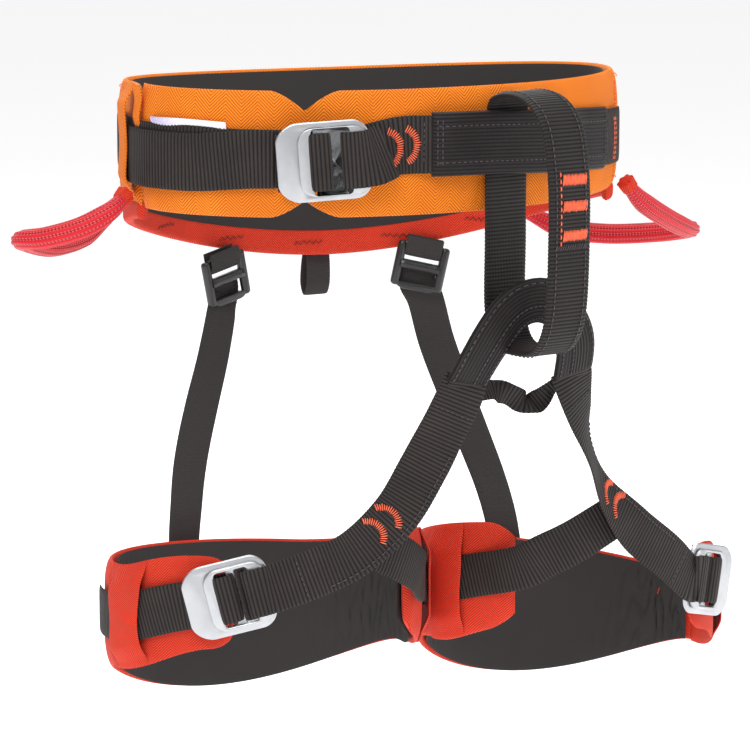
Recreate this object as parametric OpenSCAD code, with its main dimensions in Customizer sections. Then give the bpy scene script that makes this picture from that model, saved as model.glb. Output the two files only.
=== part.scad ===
// Sit harness with a padded waist belt, a belay loop and two adjustable leg loops.
// Millimetres, +Z up, front towards -Y, wearer's left towards +X.
// The origin is the middle of the waist opening, at the middle of the waist webbing's height.

/* [Waist belt] */
// Half of the waist opening's width, to the middle of the padding
belt_half_w = 168; // [150:1:180]
// Half of the waist opening's depth, to the middle of the padding
belt_half_d = 122; // [110:1:135]
// Height of the front pads above the webbing's middle
front_pad_top = 42; // [38:1:50]
// Height of the front pads below the webbing's middle
front_pad_drop = 37; // [30:1:42]
// How far the lumbar pad reaches down at the middle of the back
lumbar_drop = 80; // [70:1:100]
// Thickness of the padding
pad_t = 8; // [6:0.5:10]

/* [Webbing] */
// Width of the waist webbing
waist_web_w = 36; // [28:1:37]
// Width of the leg webbing
leg_web_w = 31; // [24:1:32]
// Width of the belay loop
belay_w = 32; // [24:1:34]
// Thickness of a single layer of webbing
web_t = 2; // [1.6:0.1:2.4]
// Width of the elastic risers
riser_w = 25; // [20:1:26]
// Diameter of the gear loops
gear_loop_d = 12; // [8:1:13]

/* [Leg loops] */
// Half of a leg loop's width
leg_half_w = 104; // [90:1:104]
// Half of a leg loop's depth
leg_half_d = 80; // [70:1:84]
// How much lower the outer side of the left leg loop hangs
left_leg_sag = 26; // [0:1:28]
// How much higher the outer side of the right leg loop hangs
right_leg_lift = 8; // [0:1:12]

/* [Buckles] */
// Height of the waist buckle's frames
waist_buckle_h = 51; // [50:1:58]
// Height of the leg buckles' frames
leg_buckle_h = 47; // [45:1:49]
// Thickness of a buckle's plate
plate_t = 3; // [2.5:0.1:3.4]

/* [Hidden] */

orange = [1.0, 0.52, 0.1];
coral = [0.95, 0.3, 0.2];
red = [0.9, 0.12, 0.15];
black = [0.13, 0.12, 0.12];
lining = [0.2, 0.17, 0.16];
silver = [0.85, 0.86, 0.88];

// The belay loop, the bridge, the leg loops and the lumbar pad share this middle plane. It lies to the
// wearer's left of the opening's middle, because the single buckle takes up slack on the right.
mid_x = 38;
leg_offset = 113;
right = -1;
left = 1;

// Angles round the belt, from +X towards +Y
split_a = 237;
right_corner_a = 188;
left_corner_a = 330;
buckle_a = 239.5;
belay_a = 280;
lumbar_a = [-29, 181];
lumbar_mid_a = 78;

// Depths from the middle of the padding, outwards, of what lies on the belt
inside_r = -pad_t * 0.6;
outside_r = pad_t * 0.4;
lining_t = 1.2;
gap = 0.4;
web_r = outside_r + gap + web_t / 2;
tie_in_r = 12.5;
sleeve_t = 1.8;

function unit(v) = v / norm(v);
function mix(a, b, t) = a + (b - a) * t;
function clamp01(t) = max(0, min(1, t));
function smooth(t) = let (c = clamp01(t)) c * c * (3 - 2 * c);

// A point on an oval, r outside it along its normal
function oval(a, b, q, r) =
    let (n = unit([b * cos(q), a * sin(q)])) [a * cos(q), b * sin(q)] + r * n;
function belt_point(q, r, z) = let (p = oval(belt_half_w, belt_half_d, q, r)) [p.x, p.y, z];
function belt_normal(q) = unit([belt_half_d * cos(q), belt_half_w * sin(q), 0]);

// A point on a leg loop. The angle runs from the outer side over the back to the inner side.
function leg_sag(side, q) = (side == left ? left_leg_sag : -right_leg_lift) * (1 + cos(q)) / 2;
function leg_point(side, q, r, z) =
    let (p = oval(leg_half_w, leg_half_d, q, r))
    [mid_x + side * (leg_offset + p.x), p.y, z - leg_sag(side, q)];

// A smooth curve through points, with steps pieces between each pair
function spline_at(p, i, t, closed) =
    let (
        n = len(p),
        k = function (j) closed ? p[(j + n) % n] : p[max(0, min(n - 1, j))],
        a = k(i - 1), b = k(i), c = k(i + 1), d = k(i + 2)
    )
    0.5 * (2 * b + (c - a) * t + (2 * a - 5 * b + 4 * c - d) * t * t
        + (3 * b - a - 3 * c + d) * t * t * t);
function spline(p, steps, closed = false) = [
    for (i = [0 : len(p) - (closed ? 1 : 2)]) for (s = [0 : steps - 1]) spline_at(p, i, s / steps, closed),
    if (!closed) p[len(p) - 1]
];

// A closed solid through rings of points. The rings' points pair up first to last across each end.
module loft(rings, closed = false) {
    n = len(rings[0]);
    m = len(rings);
    last = closed ? m - 1 : m - 2;
    sides = [
        for (i = [0 : last]) for (j = [0 : n - 1])
            let (k = (i + 1) % m, l = (j + 1) % n, a = i * n + j, b = i * n + l, c = k * n + l, d = k * n + j)
            each [[a, b, c], [a, c, d]]
    ];
    caps = closed ? [] : [
        for (j = [0 : n / 2 - 2])
            let (e = (m - 1) * n, a = j, b = j + 1, c = n - 2 - j, d = n - 1 - j)
            each [[a, c, b], [a, d, c], [e + a, e + b, e + c], [e + a, e + c, e + d]]
    ];
    polyhedron(points = [for (r = rings) each r], faces = concat(sides, caps), convexity = 6);
}

// A flat strap along points [x, y, z, face x, face y, face z], where the face is the way its flat side looks
function strap_frame(p, i, closed) =
    let (
        m = len(p),
        a = closed ? p[(i - 1 + m) % m] : p[max(0, i - 1)],
        b = closed ? p[(i + 1) % m] : p[min(m - 1, i + 1)],
        t = unit([b[0] - a[0], b[1] - a[1], b[2] - a[2]]),
        w = unit(cross(t, [p[i][3], p[i][4], p[i][5]]))
    )
    [[p[i][0], p[i][1], p[i][2]], w, cross(w, t)];
module strap(points, w, t, steps = 4, closed = false) {
    p = spline(points, steps, closed);
    loft([
        for (i = [0 : len(p) - 1])
            let (f = strap_frame(p, i, closed), u = f[1] * w / 2, v = f[2] * t / 2)
            [f[0] - u - v, f[0] + u - v, f[0] + u + v, f[0] - u + v]
    ], closed);
}

// A round cord along points, with eight sides
module tube(points, d, steps = 3) {
    p = spline(points, steps);
    sides = 8;
    loft([
        for (i = [0 : len(p) - 1])
            let (
                t = unit(p[min(len(p) - 1, i + 1)] - p[max(0, i - 1)]),
                u = unit(cross(t, [0, 0, 1])), v = cross(u, t)
            )
            [for (s = [0 : sides - 1]) p[i] + d / 2 * (cos(360 * s / sides) * u + sin(360 * s / sides) * v)]
    ]);
}

// A band round the belt between two angles, at every third degree, from rings [r, z] given by a function
function steps_between(a, b, step = 3) =
    let (n = ceil((b - a) / step)) [for (i = [0 : n]) mix(a, b, i / n)];
module belt_band(a, b, section) {
    loft([for (q = steps_between(a, b)) [for (s = section(q)) belt_point(q, s[0], s[1])]]);
}
module leg_band(side, a, b, section) {
    rings = [for (q = steps_between(a, b, 5)) [for (s = section(q)) leg_point(side, q, s[0], s[1])]];
    loft(side == left ? rings : [for (i = [len(rings) - 1 : -1 : 0]) rings[i]]);
}

// A flat layer and a cushioned one with rounded edges, as sections
function flat(r0, r1, z0, z1) = [[r0, z0], [r1, z0], [r1, z1], [r0, z1]];
function cushion(r0, r1, z0, z1) =
    let (e = (r1 - r0) * 0.45)
    [[r0 + e, z0], [r1, z0 + e], [r1 + 1, (z0 + z1) / 2], [r1, z1 - e],
     [r0 + e, z1], [r0, z1 - e], [r0, (z0 + z1) / 2], [r0, z0 + e]];

// ---- Waist belt ----

// How much of its full height a pad keeps, this many degrees from a rounded end
function round_end(q, reach) = sqrt(1 - pow(1 - clamp01(q / reach), 2) * 0.5);
function front_section(q, from_split) =
    let (k = round_end(from_split, 7), m = (front_pad_top - front_pad_drop) / 2,
        h = (front_pad_top + front_pad_drop) / 2)
    [m - h * k, m + h * k];

module front_pad_right() color(orange)
    belt_band(right_corner_a, split_a, function (q)
        let (z = front_section(q, split_a - q)) cushion(inside_r, outside_r - 1, z[0], z[1]));

module front_pad_left() color(orange)
    belt_band(split_a + 1, left_corner_a, function (q)
        let (z = front_section(q, q - split_a - 1)) cushion(inside_r, outside_r - 1, z[0], z[1]));

module front_lining_right() color(lining)
    belt_band(right_corner_a, split_a, function (q)
        let (z = front_section(q, split_a - q))
        flat(inside_r - gap - lining_t, inside_r - gap, z[0] + 4, z[1] - 4));

module front_lining_left() color(lining)
    belt_band(split_a + 1, left_corner_a, function (q)
        let (z = front_section(q, q - split_a - 1))
        flat(inside_r - gap - lining_t, inside_r - gap, z[0] + 4, z[1] - 4));

// The lumbar pad is deepest in the middle of the back
function lumbar_low(q) =
    let (t = abs(q - lumbar_mid_a) / (lumbar_a[1] - lumbar_mid_a))
    -mix(lumbar_drop, front_pad_drop, smooth(t));
function lumbar_high(q) =
    let (t = abs(q - lumbar_mid_a) / (lumbar_a[1] - lumbar_mid_a))
    mix(front_pad_top - 10, front_pad_top - 2, smooth(t));

module lumbar_pad() color(orange)
    belt_band(lumbar_a[0], lumbar_a[1], function (q)
        cushion(inside_r, outside_r, lumbar_low(q), lumbar_high(q)));

module lumbar_lining() color(lining)
    belt_band(lumbar_a[0], lumbar_a[1], function (q)
        flat(inside_r - gap - lining_t, inside_r - gap, lumbar_low(q) + 2, lumbar_high(q) - 4));

// The coral band along the lumbar pad's lower edge
function band_h(q) = mix(16, 9, smooth(abs(q - lumbar_mid_a) / 100));
module lumbar_lower_band() color(coral)
    belt_band(lumbar_a[0], lumbar_a[1], function (q)
        flat(inside_r + 1, outside_r - 2, lumbar_low(q) - band_h(q), lumbar_low(q) - gap));

module waist_strap() color(black)
    belt_band(160, buckle_a - 4, function (q)
        let (h = waist_web_w / 2, r = web_r + 1) flat(r - web_t / 2, r + web_t / 2, -h, h));

// The strap's end folds back over itself after the buckle
module waist_strap_tail() color(black)
    belt_band(183, buckle_a - 12, function (q)
        let (h = waist_web_w / 2, r = web_r + 1 + web_t + gap) flat(r - web_t / 2, r + web_t / 2, -h, h));

// Keeper tab on the front pad's corner and the standing tunnel on the side
tunnel_r = web_r + 1 + web_t / 2 + gap;
module strap_keeper_tab() color(orange)
    belt_band(right_corner_a, right_corner_a + 3.5, function (q)
        let (h = waist_web_w / 2) flat(outside_r + gap * 2, outside_r + gap * 2 + 2, h + gap, front_pad_top));
module side_tunnel() color(orange)
    belt_band(166, 180, function (q) flat(tunnel_r, tunnel_r + 2, -front_pad_drop + 4, front_pad_top - 3));

module care_label() color("white")
    belt_band(192, 213, function (q)
        flat(outside_r + gap, outside_r + gap + 0.6, waist_web_w / 2 + 0.5, waist_web_w / 2 + 6));

// The webbing from the buckle to the left corner. It stands off the pad where the belay loop passes behind.
function tie_in_stand(q) = mix(web_r + 1, tie_in_r, smooth(2.2 - abs(q - belay_a) / 11));
// It bows upwards between the buckle and the belay loop
function tie_in_rise(q) = 7 * smooth((q - 244) / 16) - 9 * smooth((q - 266) / 64);
module tie_in_webbing() color(black)
    belt_band(buckle_a + 9, left_corner_a + 1, function (q)
        let (h = waist_web_w / 2, r = tie_in_stand(q), m = tie_in_rise(q))
        flat(r - web_t / 2, r + web_t / 2, m - h, m + h));

// The protective sleeve wraps the webbing round its front, top and bottom edges
sleeve_a = [262, 316];
module tie_in_sleeve() color(black)
    belt_band(sleeve_a[0], sleeve_a[1], function (q)
        let (
            h = waist_web_w / 2 + gap, r = tie_in_stand(q),
            b = r - web_t / 2 - gap, f = r + web_t / 2 + gap, s = sleeve_t, m = tie_in_rise(q),
            profile = [
                [b, -h - s], [f + s, -h - s], [f + s, h + s], [b, h + s], [b, h], [f, h], [f, -h], [b, -h]
            ]
        )
        [for (c = profile) [c[0], c[1] + m]]);

// ---- Belay loop, gear loops and haul loop ----

// [distance out from the belt, height] round the belay loop
belay_path = [
    [7, 26], [18, 38], [43, 38], [62, 23], [70, -8], [71, -50], [68, -105], [56, -128], [35, -134],
    [13.4, -129.6], [6.4, -104], [7, -55], [7, -18]
];
module belay_loop() color(black) {
    n = belt_normal(belay_a);
    side = [-n.y, n.x, 0];
    p = spline(belay_path, 4, true);
    t = 4;
    loft([
        for (i = [0 : len(p) - 1])
            let (
                d = unit(p[(i + 1) % len(p)] - p[(i - 1 + len(p)) % len(p)]),
                c = belt_point(belay_a, p[i][0], p[i][1]),
                out = (-d[1] * n + [0, 0, d[0]]) * t / 2, u = side * belay_w / 2
            )
            [c - u + out, c + u + out, c + u - out, c - u - out]
    ], true);
}

gear_route_right = [
    [-178, -17, -26], [-191, -24, -35], [-209, -20, -45], [-227, -6, -52], [-235, 12, -55], [-224, 30, -60],
    [-199, 48, -66], [-172, 64, -64], [-148, 76, -54]
];
gear_route_left = [
    [161, -54, -28], [177, -50, -45], [203, -38, -63], [230, -20, -74], [243, -2, -78], [232, 20, -82],
    [206, 42, -84], [180, 57, -80], [156, 68, -68]
];
module gear_loop_right() color(red) tube(gear_route_right, gear_loop_d);
module gear_loop_left() color(red) tube(gear_route_left, gear_loop_d);

haul_w = 18;
haul_x = 28;
haul_top = -93;
// [distance behind the belt's middle, height below the top] down one side of the loop and up the other
haul_path = [[3, 0], [1.5, -12], [2, -24], [6.5, -31], [11, -24], [10, -12], [7, 0]];
haul_faces = [[-1, 0], [-1, 0], [-0.8, -0.5], [0, -1], [0.8, -0.5], [1, 0], [1, 0]];
module haul_loop() color(black)
    strap([
        for (i = [0 : len(haul_path) - 1])
            [haul_x, belt_half_d + haul_path[i][0], haul_top + haul_path[i][1], 0, each haul_faces[i]]
    ], haul_w, 1.6, 3);

// ---- Risers ----

// The riser buckles hang inside the lumbar pad's lower edge, this far round from a middle angle
riser_spread = 26;
riser_mid_a = 82;
// How far each one leans outwards at its foot
riser_tilt = 12;
riser_r = -9.5;
riser_z = -105;
riser_buckle_w = 34;
riser_buckle_h = 34;

module at_riser(side) {
    q = riser_mid_a - side * riser_spread;
    n = belt_normal(q);
    translate(belt_point(q, riser_r, riser_z))
        rotate(atan2(-n.x, n.y)) rotate([0, side * riser_tilt, 0]) children();
}

// A three-bar ladder buckle, seen along Y
module ladder_buckle() {
    bar = 4.2;
    rotate([90, 0, 0]) linear_extrude(plate_t + 1, center = true) difference() {
        square([riser_buckle_w, riser_buckle_h], center = true);
        for (z = [-7.6, 7.6])
            translate([0, z]) square([riser_buckle_w - 2 * bar, 9], center = true);
    }
}
module riser_buckle_right() color(black) at_riser(right) ladder_buckle();
module riser_buckle_left() color(black) at_riser(left) ladder_buckle();

// A short webbing loop holds each buckle's top bar
module riser_anchor(side) color(black) at_riser(side) {
    y = plate_t / 2 + 2;
    strap([
        [0, -y, 20, 0, -1, 0], [0, -y, 14, 0, -1, 0], [0, -1.6, 7.2, 0, -0.7, -1], [0, 1.6, 7.2, 0, 0.7, -1],
        [0, y, 14, 0, 1, 0], [0, y, 20, 0, 1, 0]
    ], riser_w, 1, 3);
}
module riser_anchor_right() riser_anchor(right);
module riser_anchor_left() riser_anchor(left);

riser_route_right = [
    [-54, 106, -129, -0.2, 1, 0], [-61, 104, -158, -0.1, 1, 0], [-72, 100, -190, 0, 1, 0],
    [-82, 95, -222, 0, 1, 0], [-89, 89, -255, -0.1, 1, 0], [-92, 87, -286, -0.2, 1, 0]
];
riser_route_left = [
    [97, 98, -129, 0.5, 1, 0], [105, 97, -158, 0.4, 1, 0], [117, 95, -190, 0.2, 1, 0],
    [130, 93, -222, 0.1, 1, 0], [143, 90, -256, 0, 1, 0], [151, 87.5, -286, 0, 1, 0],
    [155, 87, -308, 0, 1, 0]
];
module riser_strap_right() color(black) strap(riser_route_right, riser_w, web_t, 4);
module riser_strap_left() color(black) strap(riser_route_left, riser_w, web_t, 4);

// ---- Bridge between the leg loops ----

bridge_w = leg_web_w - 7;
bridge_path = [
    [-39, -130, -146, 0, -1, 0], [-33, -147, -117, 0, -1, 0], [-18, -151, -95, 0, -1, 0],
    [0, -152, -88, 0, -1, 0],
    [18, -151, -95, 0, -1, 0], [33, -147, -117, 0, -1, 0], [39, -130, -146, 0, -1, 0]
];
module bridge_webbing() color(black) translate([mid_x, 0, 0]) strap(bridge_path, bridge_w, web_t, 4);

// The sleeve wraps the bridge webbing on its front face and both edges
module bridge_sleeve() color(black) translate([mid_x, 0, 0]) {
    p = spline(bridge_path, 4);
    h = bridge_w / 2 + gap * 1.5;
    b = -web_t / 2;
    f = web_t / 2 + gap * 1.5;
    s = 1.2;
    profile = [[b, -h - s], [f + s, -h - s], [f + s, h + s], [b, h + s], [b, h], [f, h], [f, -h], [b, -h]];
    loft([
        for (i = [1 : len(p) - 2])
            let (g = strap_frame(p, i, false)) [for (q = profile) g[0] + q[0] * g[2] - q[1] * g[1]]
    ]);
}

cross_y = -119;
module bridge_cross_strap() color(black) translate([mid_x, 0, 0])
    strap([
        [-26, cross_y - 2, -150, 0, -1, 0.2], [-14, cross_y, -156, 0, -0.7, 0.7],
        [0, cross_y, -160, 0, -1, -0.6], [14, cross_y, -160, 0, -0.7, 0.7], [26, cross_y - 2, -153, 0, -1, 0.2]
    ], 12, web_t, 4);

// ---- Leg loops ----

// The padding is deepest at the back and rises towards its inner end
function leg_top(side, q) =
    -280 + (side == left ? -12 : 6) * pow((1 + cos(q)) / 2, 2) + 30 * smooth((q - 120) / 110);
function leg_low(q) = -338 - 40 * pow(max(0, sin(q)), 1.6) + 20 * smooth((q - 185) / 45);
pad_from = 2;
pad_to = 226;
function leg_round(q) = sqrt(1 - pow(1 - clamp01((pad_to - q) / 14), 2) * 0.25);
function leg_span(side, q) =
    let (m = (leg_top(side, q) + leg_low(q)) / 2, h = (leg_top(side, q) - leg_low(q)) / 2 * leg_round(q))
    [m - h, m + h];

module leg_pad(side) color(coral)
    leg_band(side, pad_from, pad_to, function (q)
        let (z = leg_span(side, q)) cushion(inside_r, outside_r - 1, z[0], z[1]));
module leg_lining(side) color(lining)
    leg_band(side, pad_from, pad_to, function (q)
        let (z = leg_span(side, q)) flat(inside_r - gap - lining_t, inside_r - gap, z[0] + 3, z[1] - 3));
module leg_pad_right() leg_pad(right);
module leg_pad_left() leg_pad(left);
module leg_lining_right() leg_lining(right);
module leg_lining_left() leg_lining(left);

// The red tongue in front of the pad, which carries the buckle
tongue_a = [-58, 1];
// Half of its height at the tip and at the outer side
tongue_h = [28, 33];
function tongue_mid(q) = -306 + 18 * smooth(-q / 50);
module leg_keeper(side) color(coral)
    leg_band(side, tongue_a[0], tongue_a[1], function (q)
        let (h = mix(tongue_h[0], tongue_h[1], smooth((q - tongue_a[0]) / 30)), m = tongue_mid(q))
        flat(-1.5, outside_r, m - h, m + h));
module leg_keeper_right() leg_keeper(right);
module leg_keeper_left() leg_keeper(left);

// Places a shape, modelled facing -Y at the origin, on a leg loop's buckle
leg_buckle_q = -57;
leg_buckle_r = 13;
leg_buckle_z = -281;
module at_leg_buckle(side) {
    p = leg_point(side, leg_buckle_q, leg_buckle_r, leg_buckle_z);
    n = unit([leg_half_d * cos(leg_buckle_q), leg_half_w * sin(leg_buckle_q)]);
    translate(p) rotate(side * atan2(n.x, -n.y)) rotate([0, side * 14, 0]) children();
}

// From the bridge's foot down and outwards to the buckle, and back into it
function leg_route(side) =
    let (x = mid_x, end = leg_buckle_z + 7, s = leg_sag(side, leg_buckle_q))
    [
        [x + side * 39, -130, -152, 0, -1, 0],
        [x + side * 50, -124, -172, side * 0.05, -1, 0],
        [x + side * 61, -117, -198, side * 0.1, -1, 0.05],
        [x + side * 76, -110, -226, side * 0.1, -1, 0.1],
        [x + side * 102, -106, end + 24 - s * 0.2, side * 0.15, -1, 0.1],
        [x + side * 130, -102, end + 10 - s * 0.6, side * 0.25, -1, 0.05],
        [x + side * 145.5, -94.8, end - s, side * 0.45, -1, 0]
    ];
module leg_strap(side) color(black) {
    p = leg_route(side);
    strap(side == left ? p : [for (i = [len(p) - 1 : -1 : 0]) p[i]], leg_web_w, web_t, 4);
}
module leg_strap_right() leg_strap(right);
module leg_strap_left() leg_strap(left);

// From the pad's inner end forwards, to the back of the leg strap
module leg_under_strap(side) color(black) {
    x = mid_x;
    s = leg_sag(side, pad_to);
    p = [
        [x + side * 36, -72, -281 - s, -side * 0.6, -1, 0],
        [x + side * 48, -86, -270 - s, -side * 0.4, -1, 0],
        [x + side * 63, -97, -260 - s, -side * 0.2, -1, 0],
        [x + side * 85, -102, -247, 0, -1, 0]
    ];
    strap(side == left ? p : [for (i = [len(p) - 1 : -1 : 0]) p[i]], leg_web_w - 2, web_t, 4);
}
module leg_under_strap_right() leg_under_strap(right);
module leg_under_strap_left() leg_under_strap(left);

// The strap's end lies round the outer side of the loop
module leg_tail(side) color(black)
    leg_band(side, -44, 16, function (q)
        let (h = leg_web_w / 2, m = tongue_mid(q), r = outside_r + 1.5) flat(r, r + web_t, m - h, m + h));
module leg_tail_right() leg_tail(right);
module leg_tail_left() leg_tail(left);

// ---- Metal buckles ----

// A plate with rounded corners in the XZ plane, its front towards -Y
module plate(w, h, r, t) {
    rotate([90, 0, 0]) linear_extrude(t, center = true) union() {
        square([w - 2 * r, h], center = true);
        square([w, h - 2 * r], center = true);
        for (x = [-1, 1], y = [-1, 1]) translate([x * (w / 2 - r), y * (h / 2 - r)]) circle(r);
    }
}

// The rear frame: a wide bar on the right side of the wearer and a slot for each strap
module buckle_frame(w, h, slot_h) {
    difference() {
        plate(w, h, 9, plate_t);
        for (s = [[-w * 0.12, w * 0.26], [w * 0.26, w * 0.26]])
            translate([s[0], 0, 0]) plate(s[1], slot_h, 2.5, plate_t + 2);
    }
}

// The front frame, which slides and tilts on the rear one and grips the strap
module buckle_slider(w, h, slot_h) {
    difference() {
        plate(w, h, 8, plate_t - 0.4);
        translate([-w * 0.06, 0, 0]) plate(w * 0.5, slot_h, 2.5, plate_t + 2);
    }
}

// Places a shape, modelled facing -Y at the origin, on the waist buckle
waist_buckle_r = 16;
module at_waist_buckle() {
    n = belt_normal(buckle_a);
    translate(belt_point(buckle_a, waist_buckle_r, 0)) rotate(atan2(n.x, -n.y)) rotate([0, -4, 0]) children();
}
slider_gap = plate_t + 0.4;
module waist_buckle_frame() color(silver)
    at_waist_buckle() buckle_frame(56, waist_buckle_h, waist_web_w + 4);
module waist_buckle_slider() color(silver)
    at_waist_buckle() translate([5, -slider_gap, 0]) buckle_slider(42, waist_buckle_h - 8, waist_web_w + 4);

// Webbing loop through the frame's second slot, sewn to the tie-in webbing
module buckle_anchor_loop() color(black)
    at_waist_buckle()
        strap([
            [36, 7.4, 0, 0, 1, 0], [28, 5, 0, -0.2, 1, 0], [20, 3.4, 0, -0.2, 1, 0], [13, 0.8, 0, -0.4, 1, 0]
        ], waist_web_w - 1, 1.2, 3);

module leg_buckle_frame(side) color(silver)
    at_leg_buckle(side) mirror([side == left ? 0 : 1, 0, 0])
        mirror([1, 0, 0]) buckle_frame(52, leg_buckle_h, leg_web_w + 4);
module leg_buckle_slider(side) color(silver)
    at_leg_buckle(side) mirror([side == left ? 0 : 1, 0, 0])
        translate([-5, -slider_gap, 0]) mirror([1, 0, 0]) buckle_slider(38, leg_buckle_h - 6, leg_web_w + 4);
module leg_buckle_frame_right() leg_buckle_frame(right);
module leg_buckle_frame_left() leg_buckle_frame(left);
module leg_buckle_slider_right() leg_buckle_slider(right);
module leg_buckle_slider_left() leg_buckle_slider(left);

front_pad_right();
front_pad_left();
front_lining_right();
front_lining_left();
lumbar_pad();
lumbar_lining();
lumbar_lower_band();
waist_strap();
waist_strap_tail();
strap_keeper_tab();
side_tunnel();
care_label();
tie_in_webbing();
tie_in_sleeve();
waist_buckle_frame();
waist_buckle_slider();
buckle_anchor_loop();
belay_loop();
gear_loop_right();
gear_loop_left();
haul_loop();
riser_buckle_right();
riser_buckle_left();
riser_strap_right();
riser_strap_left();
riser_anchor_right();
riser_anchor_left();
bridge_sleeve();
bridge_webbing();
bridge_cross_strap();
leg_pad_right();
leg_pad_left();
leg_lining_right();
leg_lining_left();
leg_keeper_right();
leg_keeper_left();
leg_strap_right();
leg_strap_left();
leg_under_strap_right();
leg_under_strap_left();
leg_buckle_frame_right();
leg_buckle_frame_left();
leg_buckle_slider_right();
leg_buckle_slider_left();
leg_tail_right();
leg_tail_left();
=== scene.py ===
"""Sit harness: a padded waist belt, a belay loop and two leg loops, in metres.

The wearer's left is +X, the front is -Y and up is +Z. The origin is the middle of the waist
opening at the waist webbing's middle height. Soft pieces are closed sheets that are laid over
the belt's and the leg loops' ovals, and straps follow smooth routes through the same points
as the design model.
"""
import logging
import math
import random
from dataclasses import dataclass, field
from enum import Enum
from typing import Callable, Iterable, Sequence

import bpy
from mathutils import Matrix, Vector, noise


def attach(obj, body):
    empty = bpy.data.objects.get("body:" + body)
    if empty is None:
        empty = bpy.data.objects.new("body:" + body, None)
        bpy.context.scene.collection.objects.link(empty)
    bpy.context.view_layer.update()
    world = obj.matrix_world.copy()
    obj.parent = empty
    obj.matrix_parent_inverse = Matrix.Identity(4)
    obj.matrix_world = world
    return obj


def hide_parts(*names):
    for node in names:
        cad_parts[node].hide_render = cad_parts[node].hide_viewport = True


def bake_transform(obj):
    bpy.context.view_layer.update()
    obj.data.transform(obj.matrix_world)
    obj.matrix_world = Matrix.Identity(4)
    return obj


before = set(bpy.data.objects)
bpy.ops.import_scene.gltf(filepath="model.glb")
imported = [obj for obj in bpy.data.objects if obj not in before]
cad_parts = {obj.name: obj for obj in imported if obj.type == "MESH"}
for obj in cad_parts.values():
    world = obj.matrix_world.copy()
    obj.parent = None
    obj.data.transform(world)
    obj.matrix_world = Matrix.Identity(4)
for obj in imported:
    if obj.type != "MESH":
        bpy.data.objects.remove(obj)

LOG = logging.getLogger("harness")
MM = 0.001
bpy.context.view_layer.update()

Color = tuple[float, float, float]
Face = int


class Side(Enum):
    """The wearer's right or left, with its sign along X."""

    RIGHT = -1
    LEFT = 1

    @property
    def word(self) -> str:
        """The side's name as the nodes spell it."""
        return self.name.lower()


class Grain(Enum):
    """Which way a woven strap's ribs run."""

    ACROSS = "across"
    ALONG = "along"


# ---- Small sums ----


def mix(a: float, b: float, t: float) -> float:
    """The value a share t of the way from a to b."""
    return a + (b - a) * t


def smooth(t: float) -> float:
    """Goes gently from 0 to 1 as t does."""
    c = max(0.0, min(1.0, t))
    return c * c * (3 - 2 * c)


def srgb(red: int, green: int, blue: int) -> Color:
    """A linear colour from 0 to 255 screen values."""
    return tuple((v / 255 / 12.92) if v <= 10 else ((v / 255 + 0.055) / 1.055) ** 2.4
                 for v in (red, green, blue))


def ripple(point: Vector, size: float, seed: float = 0.0) -> float:
    """Smooth noise between about -1 and 1 with lumps of the given size in metres."""
    return noise.noise(point / size + Vector((seed, seed * 1.7, -seed)))


def oval(half_w: float, half_d: float, angle: float, out: float) -> tuple[float, float]:
    """A point of an oval, moved outwards along its normal.

    Args:
        half_w: Half of its width along X.
        half_d: Half of its depth along Y.
        angle: Degrees from +X towards +Y.
        out: Distance outside the oval.

    Returns:
        The point's x and y.
    """
    c, s = math.cos(math.radians(angle)), math.sin(math.radians(angle))
    nx, ny = half_d * c, half_w * s
    size = math.hypot(nx, ny)
    return half_w * c + out * nx / size, half_d * s + out * ny / size


@dataclass(frozen=True)
class BeltShape:
    """The oval that the waist belt's parts lie on."""

    half_w: float = 0.168
    half_d: float = 0.122
    side_dip: float = 0.010

    def point(self, angle: float, out: float, z: float) -> Vector:
        """A point at an angle round the belt, outside the padding, which is flatter on the right."""
        dip = self.side_dip * math.exp(-((angle - 170) / 17) ** 2)
        return Vector((*oval(self.half_w, self.half_d, angle, out - dip), z))

    def normal(self, angle: float) -> Vector:
        """The outward direction at an angle."""
        a = math.radians(angle)
        return Vector((self.half_d * math.cos(a), self.half_w * math.sin(a), 0)).normalized()

    def arc(self, angle: float) -> float:
        """Length round the belt from angle 0."""
        steps = max(1, int(abs(angle) / 4))
        total = 0.0
        for k in range(steps):
            a = math.radians(angle * (k + 0.5) / steps)
            total += math.hypot(self.half_w * math.sin(a), self.half_d * math.cos(a))
        return total * math.radians(angle) / steps


@dataclass(frozen=True)
class LegShape:
    """The oval that a leg loop's parts lie on. Angles run from the outer side over the back."""

    mid_x: float = 0.038
    offset: float = 0.113
    half_w: float = 0.104
    half_d: float = 0.080
    left_sag: float = 0.026
    right_lift: float = 0.008

    def sag(self, side: Side, angle: float) -> float:
        """How much lower a point hangs on the slacker left loop, or higher on the right one."""
        slack = self.left_sag if side is Side.LEFT else -self.right_lift
        return slack * (1 + math.cos(math.radians(angle))) / 2

    def point(self, side: Side, angle: float, out: float, z: float) -> Vector:
        """A point at an angle round a leg loop."""
        x, y = oval(self.half_w, self.half_d, angle, out)
        return Vector((self.mid_x + side.value * (self.offset + x), y, z - self.sag(side, angle)))

    def normal(self, side: Side, angle: float) -> Vector:
        """The outward direction at an angle."""
        a = math.radians(angle)
        return Vector((side.value * self.half_d * math.cos(a), self.half_w * math.sin(a), 0)).normalized()

    def top(self, side: Side, angle: float) -> float:
        """Height of the padding's upper edge."""
        near = ((1 + math.cos(math.radians(angle))) / 2) ** 2
        return -0.280 + (-0.012 if side is Side.LEFT else 0.006) * near + 0.030 * smooth((angle - 120) / 110)

    def low(self, angle: float) -> float:
        """Height of the padding's lower edge, which is deepest at the back."""
        deep = max(0.0, math.sin(math.radians(angle))) ** 1.6
        return -0.338 - 0.040 * deep + 0.020 * smooth((angle - 185) / 45)

    def tongue_middle(self, angle: float) -> float:
        """Height of the front tongue's middle."""
        return -0.306 + 0.018 * smooth(-angle / 50)


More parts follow.
